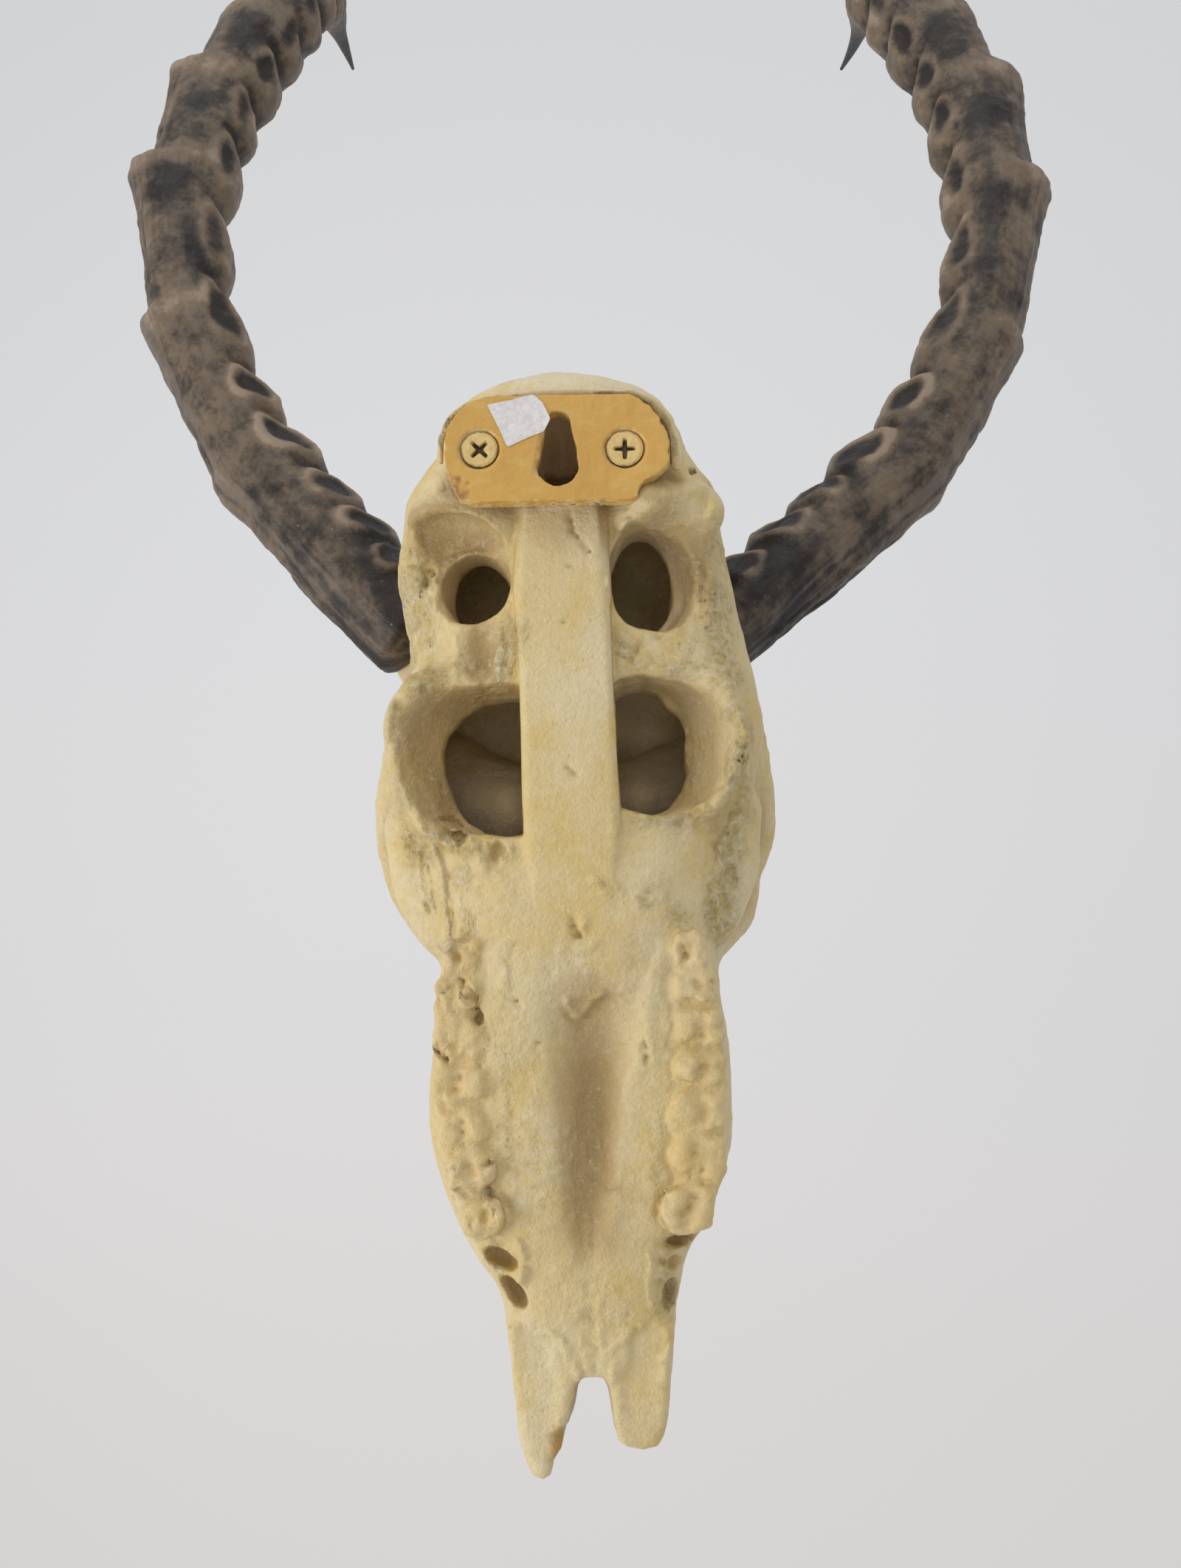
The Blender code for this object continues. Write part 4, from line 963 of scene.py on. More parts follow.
def buildSkull():
    clay = buildSkullClay()
    print("skull clay worked")
    skull = drawSurface(clay, "skullCasting")
    finishModifier(skull, "SMOOTH", factor=0.5, iterations=2)
    points = readPoints(skull)
    normals = readNormals(skull)
    print("skull surface", len(points), "points")
    masks = readRecesses(clay, points, normals)
    height = paintWallSide(points, normals, masks)
    inRow = markTeeth(points, masks)
    centre, half = skullForms["brokenPaint"]
    masks["broken"] = np.clip(2 - 1.8 * np.linalg.norm((points - centre) / half, axis=1), 0, 1)
    points += normals * grainRelief(points, masks, inRow)[:, None]
    points[:, 1] += height
    for name, values in masks.items():
        keepValues(skull, name, values)
    writePoints(skull, points)
    thinSkull(skull, leanAboutY(readPoints(skull), mount["skullLean"]))
    skull.data.shade_smooth()
    return skull


# Horns, in millimetres. The route is X, Y, Z and radius, and beads end at places along it. A shoulder is its
# top, rise, climb and drop. A dark patch is its place along and round the horn, in degrees, and half sizes.
hornForms = {
    "route": [
        (36.4, -58.0, -29.2, 13.2), (53.2, -60.0, -13.8, 13.2), (69.4, -64.0, 3.4, 12.7),
        (86.6, -68.5, 21.8, 12.0), (95.0, -71.0, 34.8, 11.5), (102.6, -73.5, 48.5, 11.4),
        (109.6, -76.5, 65.0, 11.4), (114.5, -80.0, 82.0, 11.2), (117.5, -85.0, 101.0, 11.6),
        (118.6, -91.5, 121.0, 12.4), (117.0, -100.0, 143.5, 12.4), (112.3, -109.0, 166.5, 12.4),
        (104.6, -118.0, 188.0, 12.4), (98.4, -127.0, 205.0, 11.4), (95.0, -138.0, 215.5, 9.2),
        (93.6, -150.0, 220.8, 6.2), (93.4, -163.0, 222.4, 3.0), (92.8, -175.0, 223.4, 1.6),
        (91.8, -187.0, 224.4, 0.5),
    ],
    "beadEnds": {
        1: [-9, 8, 23, 38.5, 53.8, 78, 98, 130.6, 160.2, 190.8, 211.7, 234.9, 250.8, 267, 283, 295, 306,
            318],
        -1: [-9, 8, 23, 38.5, 52.9, 76.2, 98, 127.5, 155.6, 183.6, 208.1, 229.5, 252, 269, 283, 295, 306,
             318],
    },
    "shoulders": {
        1: [(38, 0.4, 14, 2.4), (72.5, 1.8, 18, 2.4), (125.5, 3.4, 24, 2.4), (177.0, 6.2, 30, 3.0),
            (219, 5.4, 34, 6.0), (250, 3.6, 24, 5.0), (270, 1.8, 16, 4.0), (285, 1.2, 14, 4.0),
            (298, 0.6, 12, 4.0)],
        -1: [(38, 0.4, 14, 2.4), (75, 1.0, 18, 2.4), (121.5, 2.0, 18, 2.4), (174.0, 4.5, 30, 4.0),
             (217, 5.0, 34, 8.0), (250, 3.8, 24, 5.0), (270, 1.8, 16, 4.0), (285, 1.2, 14, 4.0),
             (298, 0.6, 12, 4.0)],
    },
    "darkPatches": {
        1: [(166, 88, 15, 32), (204, 96, 18, 38), (240, 108, 15, 44), (114, 136, 9, 22), (141, 120, 11, 24),
            (64, 134, 7, 18), (22, 120, 12, 26)],
        -1: [(161, 102, 17, 34), (196, 94, 15, 44), (141, 104, 14, 28), (118, 114, 11, 24),
             (214, 118, 15, 36), (238, 104, 16, 46), (66, 136, 7, 18), (22, 120, 12, 26)],
    },
    "lobe": 4.8,
    "lip": 0.9,
    "lipLow": 0.9,
    "hollow": 1.9,
    "hollowLow": 0.6,
    "flute": 0.45,
    "ringShift": 4.0,
    "ringsEnd": 300.0,
    "aroundCount": 96,
    "alongCount": 470,
    "tipShift": {1: 4.0, -1: -4.0},
    "upperShift": {1: 2.8, -1: -2.4},
    "midShift": {1: 0.3, -1: -1.6},
    "footSlim": {1: 0.4, -1: 4.2},
}


def blurGrid(values, passes):
    # softens a grid whose second direction runs round the horn
    for _ in range(passes):
        values = (np.roll(values, 1, axis=1) + 2 * values + np.roll(values, -1, axis=1)) / 4
        padded = np.concatenate([values[:1], values, values[-1:]])
        values = (padded[:-2] + 2 * padded[1:-1] + padded[2:]) / 4
    return values


def hornCentreLine(side):
    route = np.array(hornForms["route"])
    share = np.linspace(0, 1, 2400)
    fine = smoothCurve(route, share)
    steps = np.linalg.norm(np.diff(fine[:, :3], axis=0), axis=1)
    arc = np.concatenate([[0], np.cumsum(steps)])
    along = np.linspace(0, arc[-1] - 0.4, hornForms["alongCount"])
    line = np.stack([np.interp(along, arc, fine[:, column]) for column in range(4)], axis=1)
    line[:, 0] += hornForms["tipShift"][side] * np.clip((along - 285) / 60, 0, 1) ** 2
    line[:, 0] += hornForms["midShift"][side] * np.exp(-((along - 205) / 55) ** 2)
    line[:, 0] += hornForms["upperShift"][side] * np.exp(-((along - 288) / 34) ** 2)
    return along, line


def hornShoulders(side, along, wander, outer):
    # shelves that climb slowly and drop at once, and the pale crest at the top of each
    shelf = 0
    crest = 0
    for top, rise, run, drop in hornForms["shoulders"][side]:
        climb = np.clip((along + 3 * wander * (1 - outer) - top + run) / run, 0, 1)
        shelf = np.maximum(shelf, rise * climb ** 1.8 * rampTo(along, top + drop, top))
        crest = crest + min(rise / 3, 1.4) * np.exp(-((along + 4 * wander - top + 1) / 4.5) ** 2)
    return shelf, crest


def hornDarkness(side, along, around, wander):
    # the large dark patches on the side of the horn that faces the wall
    dark = 0
    for top, towards, halfAlong, halfAround in hornForms["darkPatches"][side]:
        patch = np.hypot((along + 5 * wander - top) / halfAlong, (around - towards) / halfAround)
        dark = np.maximum(dark, np.exp(-(patch / 0.8) ** 2))
    return dark


def hornRelief(side, along, angle):
    # round beads with a dark oval hollow on the inner side, shoulders on the outer side, a calm flank between
    around = np.degrees(angle % (2 * math.pi)) + 0 * along
    turned = np.minimum(around, 360 - around)
    wobble = np.stack([along / 16 + 0 * angle, np.cos(angle) * 1.6 + 0 * along,
                       np.sin(angle) * 1.6 + 5 * side + 0 * along], axis=-1)
    wander = lumps(wobble.reshape(-1, 3), 1.0, 21).reshape(wobble.shape[:2])
    start = np.interp(along, (30, 110, 170), (102, 114, 126 if side > 0 else 134))
    inner = rampTo(turned, start, start + 28)
    outer = rampTo(turned, 88, 22)
    fade = 1 / (1 + np.exp((along - hornForms["ringsEnd"]) / 5))
    ends = np.array(hornForms["beadEnds"][side], float)
    arch = np.exp(-((turned - start - 10) / 26) ** 2)
    place = np.interp(along - hornForms["ringShift"] * arch + 1.6 * wander, ends, np.arange(len(ends)))
    index = np.minimum(place.astype(int), len(ends) - 2)
    u = place - index
    strength = np.clip(np.diff(ends)[index] / 22, 0.5, 1.05)
    lobe = strength * (hornForms["lobe"] * np.sin(math.pi * np.clip(u, 0, 1)) ** 0.6 - 2.2) * inner
    middle = np.interp(along, (40, 105, 165), (141, 138, 152))
    reach = np.interp(along, (40, 110, 165), (30, 22, 15))
    chance = np.random.default_rng(80 + side).uniform(0.65, 1.2, len(ends))[index]
    away = np.hypot((u - 0.54 + 0.1 * wander) / 0.34, (around - middle) / reach)
    hollow = strength * chance * np.exp(-(away / 0.72) ** 4)
    lip = strength * np.exp(-((away - 1.08) / 0.17) ** 2) * rampTo(u, 0.1, 0.38) * rampTo(around, 92, 108)
    shelf, crest = hornShoulders(side, along, wander, outer)
    shelf = shelf * (outer + 0.1 * (1 - outer) * (1 - inner))
    low = rampTo(along, 112, 86)
    lipHeight = hornForms["lip"] + hornForms["lipLow"] * low
    hollowDepth = hornForms["hollow"] + hornForms["hollowLow"] * low
    relief = shelf + lobe + lipHeight * lip - hollowDepth * hollow
    joint = inner * np.exp(-(np.minimum(u, 1 - u) / 0.1) ** 2)
    front = rampTo(turned, 15, 40) * rampTo(turned, 150, 120)
    dark = hornDarkness(side, along, around, wander) * (1 - 0.9 * np.clip(1.4 * lip, 0, 1))
    rim = inner * rampTo(turned, 146, 166) * rampTo(np.minimum(u, 1 - u), 0.08, 0.3)
    brushed = (0.9 + 1.7 * low) * lip - (1.4 + 0.7 * low) * hollow - 1.1 * dark
    brushed = brushed + 0.55 * crest * front - 0.3 * joint + 0.3 * rim
    return relief * fade, brushed * fade, outer * fade


def buildHorn(name, side, seed):
    along, line = hornCentreLine(side)
    centre = line[:, :3] * (side, 1, 1)
    tangent = np.gradient(centre, axis=0)
    tangent /= np.linalg.norm(tangent, axis=1)[:, None]
    sideways = np.array((side, 0.0, 0.0))
    outward = sideways - tangent * (tangent @ sideways)[:, None]
    outward /= np.linalg.norm(outward, axis=1)[:, None]
    wallward = np.cross(tangent, outward) * side
    angle = np.linspace(0, 2 * math.pi, hornForms["aroundCount"], endpoint=False)[None, :]
    relief, brushed, outer = hornRelief(side, along[:, None], angle)
    skin = np.stack([np.cos(angle) * 12 + 0 * along[:, None], np.sin(angle) * 12 + 0 * along[:, None],
                     along[:, None] + 0 * angle], axis=-1)
    flat = skin.reshape(-1, 3)
    fluted = lumps(flat * (1, 1, 0.06) + 50 * side, 2.1, seed).reshape(skin.shape[:2])
    rough = lumps(flat + 31 * side, 7, seed + 1) * 0.45 + lumps(flat, 3, seed + 2) * 0.25
    rough = (rough + lumps(flat, 1.5, seed + 3) * 0.14).reshape(skin.shape[:2])
    calm = np.clip((along[:, None] - hornForms["ringsEnd"]) / 14, 0, 1)
    relief = blurGrid(relief, 3) + rough * (1 - 0.85 * calm)
    relief = relief - hornForms["footSlim"][side] * outer * rampTo(along[:, None], 78, 4)
    relief = relief + hornForms["flute"] * fluted * (0.25 + outer) * (1 - calm)
    radius = line[:, 3:4] + relief * np.clip(line[:, 3:4] / 9, 0.15, 1)
    radius *= np.sqrt(1 - (1 - np.clip(along / 5, 0.1, 1)) ** 2)[:, None]
    radius = np.maximum(radius, 0.6)
    spoke = outward[:, None] * np.cos(angle)[..., None] + wallward[:, None] * np.sin(angle)[..., None]
    ring = centre[:, None] + spoke * radius[..., None]
    points = ring.reshape(-1, 3)
    around = hornForms["aroundCount"]
    count = len(along)
    grid = np.arange(count * around).reshape(count, around)
    following = np.roll(grid, -1, axis=1)
    quads = np.stack([grid[:-1], following[:-1], following[1:], grid[1:]], axis=-1).reshape(-1, 4)
    faces = quads.tolist()
    points = np.concatenate([points, centre[:1] - tangent[:1] * 1.0, centre[-1:] + tangent[-1:] * 0.4])
    for ringNumber, tipNumber, flip in ((0, count * around, 1), (count - 1, count * around + 1, 0)):
        for a, b in zip(grid[ringNumber], following[ringNumber]):
            faces.append((int(b), int(a), tipNumber) if flip else (int(a), int(b), tipNumber))
    if side < 0:
        faces = [face[::-1] for face in faces]
    points = leanAboutY(points, mount["hornLean"], mount["hornLeanHeight"])
    mesh = bpy.data.meshes.new(name)
    mesh.from_pydata(settle(points).tolist(), [], faces)
    horn = bpy.data.objects.new(name, mesh)
    bpy.context.scene.collection.objects.link(horn)
    fine = relief - blurGrid(relief, 18)
    raised = np.clip(0.58 + 0.22 * fine + 0.5 * blurGrid(brushed, 2), 0, 1.5)
    ends = [0.5, 0.4]
    keepValues(horn, "raised", np.concatenate([raised.ravel(), ends]))
    keepValues(horn, "outerSide", np.concatenate([(outer + 0 * relief).ravel(), [0, 0]]))
    keepValues(horn, "alongHorn", np.concatenate([(along[:, None] / 348 + 0 * relief).ravel(), [0, 1]]))
    grain = np.concatenate([flat, [(0, 0, 0), (0, 0, along[-1])]]) * mm
    attribute = horn.data.attributes.new("grainPlace", "FLOAT_VECTOR", "POINT")
    attribute.data.foreach_set("vector", np.asarray(grain, np.float32).ravel())
    mesh.shade_smooth()
    return horn


# Hanger plate, in millimetres: outline in X and Z from the left edge round by the top.
plateForms = {
    "outline": [(24.4, 0.5), (24.2, 5.1), (22.0, 9.6), (18.2, 12.4), (14.6, 13.3), (0.0, 13.5), (-16.6, 13.4),
                (-20.8, 10.8), (-23.8, 6.8), (-25.2, 2.6), (-25.4, -2.6), (-22.6, -5.2), (-19.3, -7.0),
                (-18.3, -8.6), (-18.2, -11.1), (18.6, -11.1), (21.0, -10.0), (23.4, -6.4)],
    "thickness": 4.0,
    "keyholeX": -0.8,
    "roundZ": -2.9,
    "roundRadius": 4.5,
    "slotTop": 9.8,
    "slotHalf": 2.7,
    "facetLevels": (-5.0, -4.0, 4.5),
    "facetEdge": (4.6, 4.8, 3.3),
    "screws": {"Left": (16.5, 1.1, 45.0), "Right": (-15.4, 0.7, 0.0)},
    "headRadius": 4.0,
    "screwCones": ((0.6, -2.9, 5.2, 2.8), (-2.0, -6.0, 2.2, 2.2)),
    "voxel": 0.33,
    "sink": 0.3,
    "underHead": ((-1.9, 0.45), (-9.0, 1.0), (-3.5, 0.3)),
    "headSteps": ((0.25, 0.0), (0.12, 0.1), (0.5, 0.03), (0.18, -0.05), (0.2, 0.04)),
    "star": (2.9, 2.7, 1.6, 1.15, 1.05, 1.15, 1.6, 2.7),
    "starPoints": 32,
    "starDepth": 2.1,
    "starTaper": 0.55,
}


def nameNew(name):
    # names the piece just added, and puts its place into its mesh
    piece = bpy.context.active_object
    piece.name = name
    piece.data.name = name
    bpy.ops.object.transform_apply(location=True, rotation=True, scale=True)
    return piece


def closedOutline(corners, spacing, nick, seed):
    # points along a many-sided outline, with small random nicks
    corners = np.array(corners, float)
    edges = np.roll(corners, -1, axis=0) - corners
    lengths = np.linalg.norm(edges, axis=1)
    total = lengths.sum()
    place = np.arange(0, total, spacing)
    starts = np.concatenate([[0], np.cumsum(lengths)])
    closed = np.concatenate([corners, corners[:1]])
    x = np.interp(place, starts, closed[:, 0])
    z = np.interp(place, starts, closed[:, 1])
    points = np.stack([x, z], axis=1)
    for _ in range(2):
        points = (np.roll(points, 1, axis=0) + 2 * points + np.roll(points, -1, axis=0)) / 4
    wander = lumps(np.stack([x, z, 0 * x], axis=1), 1.6, seed)
    return points * (1 - nick * np.clip(wander, 0, 1) / 20)[:, None]


def faceOutwards():
    # ends edit mode with all faces of a closed piece outwards
    bpy.ops.mesh.select_all(action="SELECT")
    bpy.ops.mesh.normals_make_consistent(inside=False)
    bpy.ops.object.mode_set(mode="OBJECT")


def extrudeOutline(name, corners, step, share=1.0):
    # a disc whose rim goes to the corners, extruded by one step and closed, with its faces outwards
    bpy.ops.mesh.primitive_circle_add(vertices=len(corners), radius=1, fill_type="NGON")
    piece = nameNew(name)
    for vertex, corner in zip(piece.data.vertices, corners):
        vertex.co = corner
    bpy.ops.object.mode_set(mode="EDIT")
    bpy.ops.mesh.select_all(action="SELECT")
    bpy.ops.mesh.extrude_region_move(TRANSFORM_OT_translate={"value": step})
    if share != 1.0:
        bpy.ops.transform.resize(value=(share, share, 1))
    faceOutwards()
    return piece


def outlinePrism(name, outline, wallSide, faceSide):
    # an outline in X and Z, extruded along Y
    return extrudeOutline(name, [(x, wallSide, z) for x, z in outline], (0, faceSide - wallSide, 0))


def cutWith(piece, tool):
    finishModifier(piece, "BOOLEAN", operation="DIFFERENCE", solver="EXACT", object=tool)
    bpy.data.objects.remove(tool)


def coneAlongY(x, z, wallSide, faceSide, wallRadius, faceRadius):
    bpy.ops.mesh.primitive_cone_add(vertices=48, radius1=wallRadius, radius2=faceRadius,
                                    depth=wallSide - faceSide, location=(x, (wallSide + faceSide) / 2, z),
                                    rotation=(math.pi / 2, 0, 0))
    return nameNew("sinkTool")


def keyholeOutline():
    # a round hole with a slot above it, both with a slightly ragged edge
    x0 = plateForms["keyholeX"]
    z0 = plateForms["roundZ"]
    radius = plateForms["roundRadius"]
    half = plateForms["slotHalf"]
    points = []
    for angle in np.radians(np.linspace(152, 388, 40)):
        points.append((x0 + radius * math.cos(angle), z0 + radius * math.sin(angle)))
    top = plateForms["slotTop"] - plateForms["slotHalf"]
    points += [(x0 + half * 1.42, 1.4), (x0 + half * 1.2, 3.8), (x0 + half * 1.05, 5.8)]
    for angle in np.radians(np.linspace(0, 180, 16)):
        points.append((x0 + half * math.cos(angle), top + half * 0.9 * math.sin(angle)))
    points += [(x0 - half * 1.05, 5.8), (x0 - half * 1.22, 3.8), (x0 - half * 1.46, 1.4)]
    ragged = lumps([(x, z, 3.0) for x, z in points], 1.1, 31)
    return [(x + 0.22 * step * (1 if x > x0 else -1), z) for (x, z), step in zip(points, ragged)]


def buildPlate():
    outline = closedOutline(plateForms["outline"], 0.8, 0.5, 30)
    plate = outlinePrism("hangerPlate", outline, 0.0, -plateForms["thickness"])
    cutWith(plate, outlinePrism("keyholeTool", keyholeOutline(), 2.0, -7.0))
    for x, z, turn in plateForms["screws"].values():
        for cone in plateForms["screwCones"]:
            cutWith(plate, coneAlongY(x, z, *cone))
    finishModifier(plate, "REMESH", mode="VOXEL", voxel_size=plateForms["voxel"])
    finishModifier(plate, "SMOOTH", factor=0.5, iterations=2)
    points = readPoints(plate)
    normals = readNormals(plate)
    rim = np.clip(1 - np.abs(normals[:, 1]), 0, 1)
    wear = lumps(points, 2.2, 33) + 0.6 * lumps(points, 0.9, 34)
    points += normals * (0.05 * lumps(points, 4.5, 35) - 0.16 * rim * np.clip(wear, 0, 1) - 0.04)[:, None]
    fromCorner = np.hypot(points[:, 0] - 22.4, points[:, 2] + 8.2)
    corner = np.clip(1 - fromCorner / 4.2 + 0.35 * lumps(points, 1.1, 36), 0, 1)
    corner *= points[:, 1] > -1.2
    points[:, 1] -= 0.22 * np.clip(corner * 3, 0, 1)
    facet = np.interp(points[:, 2], plateForms["facetLevels"], plateForms["facetEdge"]) - points[:, 0]
    facet = np.clip(facet / 1.5, 0, 1) * (points[:, 0] > 0.5) * (points[:, 1] > -2.2)
    facet *= rampTo(points[:, 2], -5.6, -4.4) * rampTo(points[:, 2], 5.2, 4.0)
    points[:, 1] -= 1.5 * facet
    points[:, 1] = np.minimum(points[:, 1], 0)
    writePoints(plate, settle(points))
    keepValues(plate, "rim", np.maximum(rim, np.clip(facet * 2.5, 0, 1)))
    keepValues(plate, "brokenPaint", np.clip(corner * 2.2, 0, 1))
    plate.data.shade_smooth()
    return plate


def selectFaces(piece, up):
    # the flat faces that look up (1) or down (-1), selected in edit mode
    bpy.ops.object.mode_set(mode="EDIT")
    bpy.ops.mesh.select_mode(type="FACE")
    bpy.ops.mesh.select_all(action="DESELECT")
    bpy.ops.object.mode_set(mode="OBJECT")
    for face in piece.data.polygons:
        face.select = face.normal.z * up > 0.9
    bpy.ops.object.mode_set(mode="EDIT")


def buildScrew(name, x, z, turn):
    # countersunk head with a recess like a four-armed star, and a shank in the casting
    sink = plateForms["sink"]
    radius = plateForms["headRadius"]
    bpy.ops.mesh.primitive_cylinder_add(vertices=64, radius=radius, depth=0.4, end_fill_type="NGON",
                                        location=(0, 0, -0.2))
    screw = nameNew(name)
    selectFaces(screw, -1)
    for depth, share in plateForms["underHead"]:
        bpy.ops.mesh.extrude_region_move(TRANSFORM_OT_translate={"value": (0, 0, depth)})
        bpy.ops.transform.resize(value=(share, share, 1))
    bpy.ops.object.mode_set(mode="OBJECT")
    selectFaces(screw, 1)
    for inset, rise in plateForms["headSteps"]:
        bpy.ops.mesh.inset(thickness=inset, depth=rise)
    bpy.ops.object.mode_set(mode="OBJECT")
    star = []
    for step in range(plateForms["starPoints"]):
        angle = 2 * math.pi * step / plateForms["starPoints"] + math.radians(turn)
        spread = plateForms["star"][step % len(plateForms["star"])]
        star.append((spread * math.cos(angle), spread * math.sin(angle), 0.5))
    tool = extrudeOutline("starTool", star, (0, 0, -plateForms["starDepth"]), plateForms["starTaper"])
    cutWith(screw, tool)
    finishModifier(screw, "BEVEL", width=0.09, segments=2, limit_method="ANGLE", angle_limit=math.radians(35))
    screw.data.transform(Matrix.Rotation(-math.pi / 2, 4, "X"))
    points = readPoints(screw) + (x, -sink, z)
    keepValues(screw, "fromMiddle", np.hypot(points[:, 0] - x, points[:, 2] - z) / radius)
    keepValues(screw, "headDepth", -(points[:, 1] + sink))
    writePoints(screw, settle(points))
    screw.data.shade_smooth()
    screw.data.set_sharp_from_angle(angle=math.radians(40))
    return screw


# Torn paper label, left blank: corners in X and Z.
labelForms = {
    "corners": [(14.9, 11.1), (4.5, 13.4), (2.6, 11.5), (0.8, 7.6), (2.3, 4.8), (6.0, 3.4), (10.3, 1.3),
                (12.4, 6.1)],
    "thickness": 0.1,
}


def buildLabel():
    outline = closedOutline(labelForms["corners"], 0.35, 0.3, 40)
    middle = outline.mean(axis=0)
    bpy.ops.mesh.primitive_circle_add(vertices=len(outline), radius=1, fill_type="TRIFAN")
    label = nameNew("blankLabel")
    rim = iter(outline)
    for vertex in label.data.vertices:
        x, z = middle if vertex.co.length < 0.5 else next(rim)
        vertex.co = (x, 0, z)
    bpy.ops.object.mode_set(mode="EDIT")
    bpy.ops.mesh.select_all(action="SELECT")
    bpy.ops.mesh.subdivide(number_cuts=9)
    bpy.ops.object.mode_set(mode="OBJECT")
    points = readPoints(label)
    lift = 0.05 + 0.03 * (1 + lumps(points, 3.0, 41))
    lift += 0.4 * np.clip((2.6 - points[:, 0]) / 2.0, 0, 1) ** 2
    lift += 0.15 * np.clip((points[:, 0] + points[:, 2] - 23) / 2, 0, 1) ** 2
    points[:, 1] = lift
    writePoints(label, settle(points))
    finishModifier(label, "SOLIDIFY", thickness=labelForms["thickness"] * mm, offset=-1)
    bpy.ops.object.mode_set(mode="EDIT")
    faceOutwards()
    label.data.shade_smooth()
    label.data.set_sharp_from_angle(angle=math.radians(40))
    return label


# Finishes, all worked out from the place on the object and from values kept on the pieces.
class Finish:
    # one material under work: its nodes, its named colours and the colour painted so far
    def __init__(self, name, look):
        self.material = bpy.data.materials.new(name)
        self.material.use_nodes = True
        self.tree = self.material.node_tree
        self.shader = self.tree.nodes["Principled BSDF"]
        self.look = look
        self.color = None
        self.place = self.add("TexCoord").outputs["Object"]

    def feed(self, socket, value):
        # a link from another socket, a named colour, or a constant on the socket itself
        if isinstance(value, bpy.types.NodeSocket):
            self.tree.links.new(value, socket)
        elif isinstance(value, str):
            socket.default_value = (*self.look[value], 1)
        else:
            socket.default_value = value

    def add(self, kind, inputs=(), **settings):
        node = self.tree.nodes.new("ShaderNode" + kind)
        for key, value in settings.items():
            setattr(node, key, value)
        for key, value in dict(inputs).items():
            self.feed(node.inputs[key], value)
        return node

    def kept(self, name, output="Fac"):
        return self.add("Attribute", attribute_name=name, attribute_type="GEOMETRY").outputs[output]

    def stretched(self, place, scale):
        return self.add("Mapping", {"Vector": place, "Scale": scale}).outputs["Vector"]

    def noise(self, scale, detail=3.0, roughness=0.55, place=None):
        inputs = {"Vector": place or self.place, "Scale": scale, "Detail": detail, "Roughness": roughness}
        return self.add("TexNoise", inputs).outputs["Fac"]

    def grow(self, value, start, end, low=0.0, high=1.0):
        # a soft step from low to high as the value goes from start to end
        inputs = {"Value": value, "From Min": start, "From Max": end, "To Min": low, "To Max": high}
        return self.add("MapRange", inputs, interpolation_type="SMOOTHSTEP").outputs["Result"]

    def sums(self, operation, first, second):
        node = self.add("Math", operation=operation)
        self.feed(node.inputs[0], first)
        self.feed(node.inputs[1], second)
        return node.outputs["Value"]

    def times(self, first, second):
        return self.sums("MULTIPLY", first, second)

    def plus(self, first, second):
        return self.sums("ADD", first, second)

    def blend(self, share, first, second):
        node = self.add("Mix", data_type="RGBA", blend_type="MIX")
        sockets = {socket.identifier: socket for socket in [*node.inputs, *node.outputs]}
        self.feed(sockets["Factor_Float"], share)
        self.feed(sockets["A_Color"], first)
        self.feed(sockets["B_Color"], second)
        return sockets["Result_Color"]

    def ground(self, share, first, second):
        self.color = self.blend(share, first, second)

    def paint(self, share, color):
        # one more coat over what is there
        self.color = self.blend(share, self.color, color)

    def dry(self, roughness, height, distance):
        # colour, roughness and fine relief go into the shader
        bump = self.add("Bump", {"Height": height, "Distance": distance, "Strength": 1.0})
        self.feed(self.shader.inputs["Base Color"], self.color)
        self.feed(self.shader.inputs["Roughness"], roughness)
        self.feed(self.shader.inputs["Normal"], bump.outputs["Normal"])
        return self.material


boneLook = {
    "cream": (0.655, 0.51, 0.25),
    "ivory": (0.70, 0.58, 0.345),
    "domeHighlight": (0.78, 0.69, 0.48),
    "yellow": (0.64, 0.455, 0.15),
    "brown": (0.30, 0.185, 0.07),
    "dellShade": (0.40, 0.27, 0.115),
    "inside": (0.37, 0.27, 0.16),
    "insidePale": (0.56, 0.44, 0.29),
    "upperRoomPaintedLight": (0.78, 0.62, 0.42),
    "toothOrange": (0.68, 0.455, 0.175),
    "brokenBrown": (0.52, 0.30, 0.07),
    "speck": (0.80, 0.735, 0.56),
    "fleck": (0.72, 0.55, 0.20),
    "gritYellow": (0.50, 0.36, 0.115),
    "dirtAndShade": (0.085, 0.06, 0.038),
}


